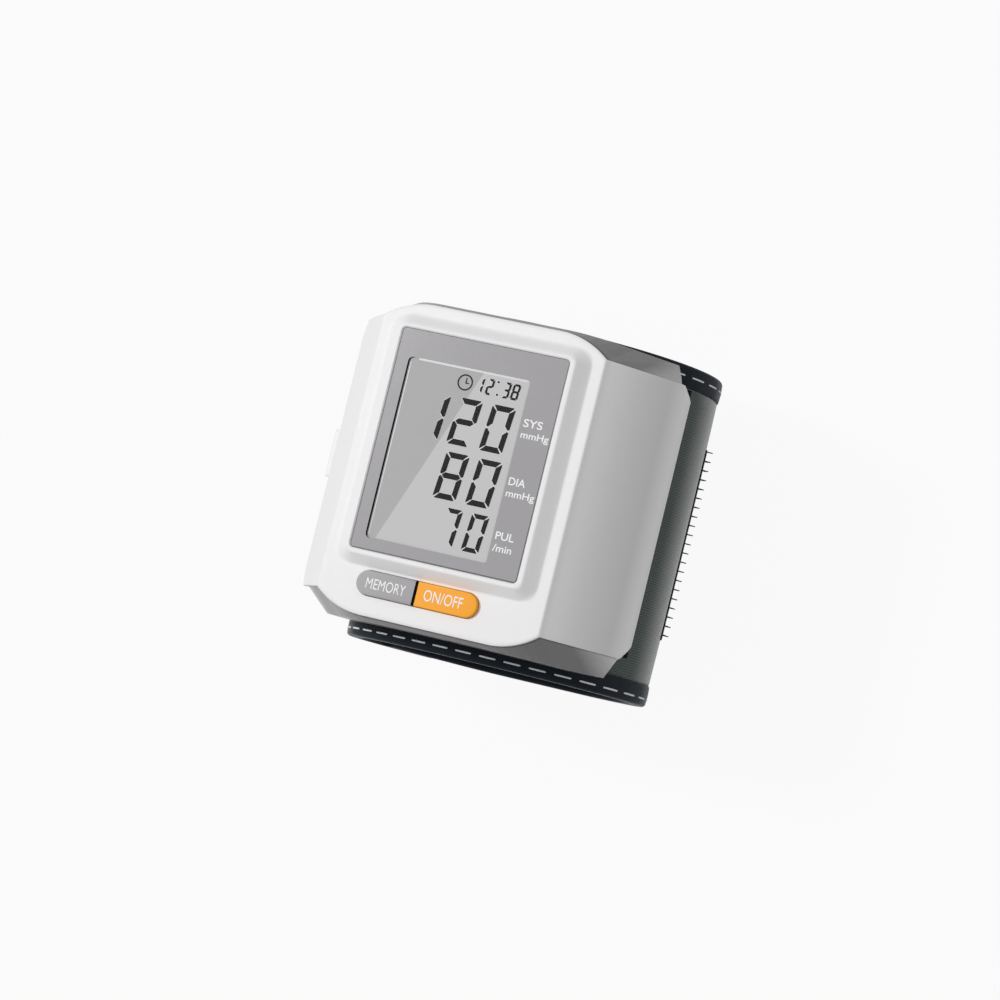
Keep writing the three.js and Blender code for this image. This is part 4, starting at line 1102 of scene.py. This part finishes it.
def tapeProfile(side, inner, t=cuffTape):
    # a tape folded over the cuff's edge: two flat legs, a round fold, and soft cut edges
    outer, fold = -t.proud, t.fold
    edge, inward = side * cuffSettings.half, side * tapeInner
    turn = np.linspace(0, math.pi / 2, 7)
    start = edge - side * fold
    legs = np.linspace(inward + side * t.soft, start, 9)
    swell = t.swell * np.sin(np.linspace(0, math.pi, 9))
    middle = (outer + inner) / 2
    return np.vstack([
        pairs(outer - swell, legs),
        pairs(outer + fold - fold * np.cos(turn[1:]), start + side * fold * np.sin(turn[1:])),
        [[middle, edge]],
        pairs(inner - fold + fold * np.sin(turn), start + side * fold * np.cos(turn)),
        pairs(inner + 0 * legs, legs[::-1])[1:],
        [[inner - t.soft, inward], [middle, inward + side * t.tuck], [outer + t.soft, inward]],
    ])


stitchSettings = Settings(
    pitch=4.9, length=3.7, longer=0.45, last=0.5,
    thick=0.165, thinner=0.9, flat=1.15, rise=0.16, dive=0.06, over=0.04, crease=180,
    seam=Settings(top=2.2, bottom=2.85),  # from the tape's inner edge
)


def makeStitches(name, start, end, side, seam, body, first, t=stitchSettings):
    # short threads that rise out of the tape and dive back into it, one dash for each pitch
    fine = np.linspace(start, end, 2000)
    run = lengthAlong(cuffPoints(fine, 0, 0))
    # the machine's stitch runs longer where the band turns down its two sides
    longer = 1 + t.longer * np.abs(np.cos(np.radians(fine))) ** 3
    number = np.concatenate([[0], np.cumsum(np.diff(run) / (t.pitch * longer[1:]))])
    centres = np.interp(np.arange(first, number[-1] - t.last), number, run)
    share = np.linspace(-1, 1, 11)
    places = centres[:, None] + share / 2 * t.length * np.interp(centres, run, longer)[:, None]
    angles = np.interp(places, run, fine)
    rise = t.rise * np.sqrt(1 - share ** 6) - t.dive
    thick = t.thick * np.sqrt(1 - share ** 8 * t.thinner)[:, None]
    around = np.linspace(0, 2 * math.pi, 9)[:-1]
    depths = t.over - cuffTape.proud - rise[:, None] - thick * np.sin(around)
    across = side * (tapeInner + seam) + thick * t.flat * np.cos(around)
    rings = cuffPoints(angles[:, :, None], depths, across)
    return addPiece(name, joined([skin(stitch) for stitch in rings]), "stitching", body,
                    crease=t.crease)


def sewTapes(band, stitches, ends, inner, stitchEnds, body, first):
    # the folded tape along both edges of a band, with its row of stitches
    pieces = []
    for side, word in ((1, "top"), (-1, "bottom")):
        pieces.append(bandPiece(f"{band}_tape_{word}", f"{band}_binding_{word}",
                                tapeProfile(side, inner), ends, body))
        pieces.append(makeStitches(f"{stitches}_{word}", *stitchEnds, side,
                                   stitchSettings.seam[word], body, first[word]))
    return pieces


def makeCuff(s):
    ends = (s.start, s.end, s.ease)
    cloth = slabProfile(0.0, s.cloth, clothHalf + s.clothOver, s.crown)
    bandPiece("cuff_cloth", "cuff_cover", cloth, ends)
    depth = s.cloth + s.gap + s.former + s.gap
    lining = slabProfile(depth, depth + s.lining, clothHalf)
    bandPiece("cuff_lining_cloth", "cuff_lining", lining, ends, reshape=dipped)
    sewTapes("cuff", "stitches", ends, cuffTape.deep, (s.start - 1, s.end + 1),
             "monitor", {"top": 1.0, "bottom": 0.4})


makeCuff(cuffSettings)
print("cuff band sewn")


# Hook strip on the cuff's back

hookSettings = Settings(
    start=-14.0, end=-166.0, ease=0.6, half=20.0, tape=0.34, off=0.04, least=0.06,
    columnPitch=1.94, rowPitch=4.2, skew=0.061, aim=-21.5, margins=(1.1, 0.08, 0.2),
    height=1.25, wire=0.14, taper=0.45, lean=0.3, bend=0.72, sunk=0.03, crease=180,
)


def makeHooks(h, s=cuffSettings):
    tape = slabProfile(-h.off - h.tape, -h.off, h.half, 0.0, 0.12, 20)
    bandPiece("hook_tape", "hook_patch", tape, (h.start, h.end, h.ease))
    fine = np.linspace(h.start - h.ease, h.end + h.ease, 1200)
    run = lengthAlong(cuffPoints(fine, 0, 0))
    # rows keep their pitch from the one at the band's widest place, each set a little along
    lowMargin, highMargin, endMargin = h.margins
    first = np.interp(-h.aim, -fine, run)
    rows = first + h.rowPitch * np.arange(-8, int(run[-1] / h.rowPitch) + 1)
    rows = rows[(rows > endMargin) & (rows < run[-1] - endMargin)]
    columns = np.arange(lowMargin - h.half, h.half, h.columnPitch)
    angle, y = np.meshgrid(np.interp(rows, run, fine), columns, indexing="ij")
    y = y + np.mod(h.skew * (rows - first), h.columnPitch)[:, None]
    kept = y < h.half - highMargin
    angle, y = angle[kept][:, None, None], y[kept][:, None, None]
    # a hook stands out from the tape, bends over along it and points back down
    share = np.linspace(0, 1, 7)[:, None]
    around = np.linspace(0, 2 * math.pi, 6)[:-1]
    wire = h.wire * (1 - h.taper * share)
    out = h.height * np.sin(share * math.pi * h.bend)
    shift = h.lean * (1 - np.cos(share * math.pi * h.bend)) + wire * np.cos(around)
    perDegree = s.radius * math.pi / 180
    depth = h.sunk - h.off - h.tape - out
    rings = cuffPoints(angle - shift / perDegree, depth, y + wire * np.sin(around))
    rings[..., 2] = np.maximum(rings[..., 2], h.least)  # pressed down where the cuff lies
    count, steps, sides = rings.shape[:3]
    fans = np.array([[0, 2, 1], [0, 3, 2], [0, 4, 3]])
    fans = np.vstack([fans, (steps - 1) * sides + fans[:, ::-1]])
    offsets = (np.arange(count) * steps * sides)[:, None, None]
    faces = [face for one in (gridFaces(steps, sides, True), fans)
             for face in (one + offsets).reshape(-1, one.shape[1]).tolist()]
    addPiece("hooks", (rings.reshape(-1, 3), faces), "hook_strip",
             uv=np.zeros((count * steps * sides, 2)), crease=h.crease)


makeHooks(hookSettings)
print("hook strip made")


# Free flap that closes over the hooks

flapSettings = Settings(
    loopDepth=1.1, depth=1.7, start=167.62, clothEnd=214.0, end=222.0,
    clothOver=0.4, clothEase=0.8, tapeEase=1.0,
    endGap=0.5, endEase=1.6, endCrown=0.08, endRound=0.3,
    bendStart=168.4, bendEnd=177.0,
)


def makeFlap(f, s=cuffSettings):
    ends = (f.start, f.clothEnd + f.clothOver, f.clothEase)
    cloth = slabProfile(0.0, s.cloth, clothHalf + s.clothOver, s.crown)
    outer = bandPiece("flap_cloth", "flap_cover", cloth, ends, None, "flap_cloth")
    lining = slabProfile(f.loopDepth, f.depth, clothHalf)
    loop = bandPiece("flap_loop_cloth", "flap_loop", lining, ends, None)
    tapes = sewTapes("flap", "flap_stitches", (f.start, f.end, f.tapeEase), f.depth,
                     (f.start + 1, f.end - 1), None, {"top": 0.6, "bottom": 0.6})
    bend = cuffPoints(np.array([f.bendStart, f.bendEnd]), 0, 0) * mm
    for piece in [outer, loop] + tapes:
        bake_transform(piece)
    tape = slabProfile(-cuffTape.proud, f.depth, clothHalf, f.endCrown, f.endRound)
    bandPiece("flap_end_tape", "flap_end_binding", tape,
              (f.clothEnd + f.endGap, f.end, f.endEase), "cuff_flap")


makeFlap(flapSettings)
print("flap made")
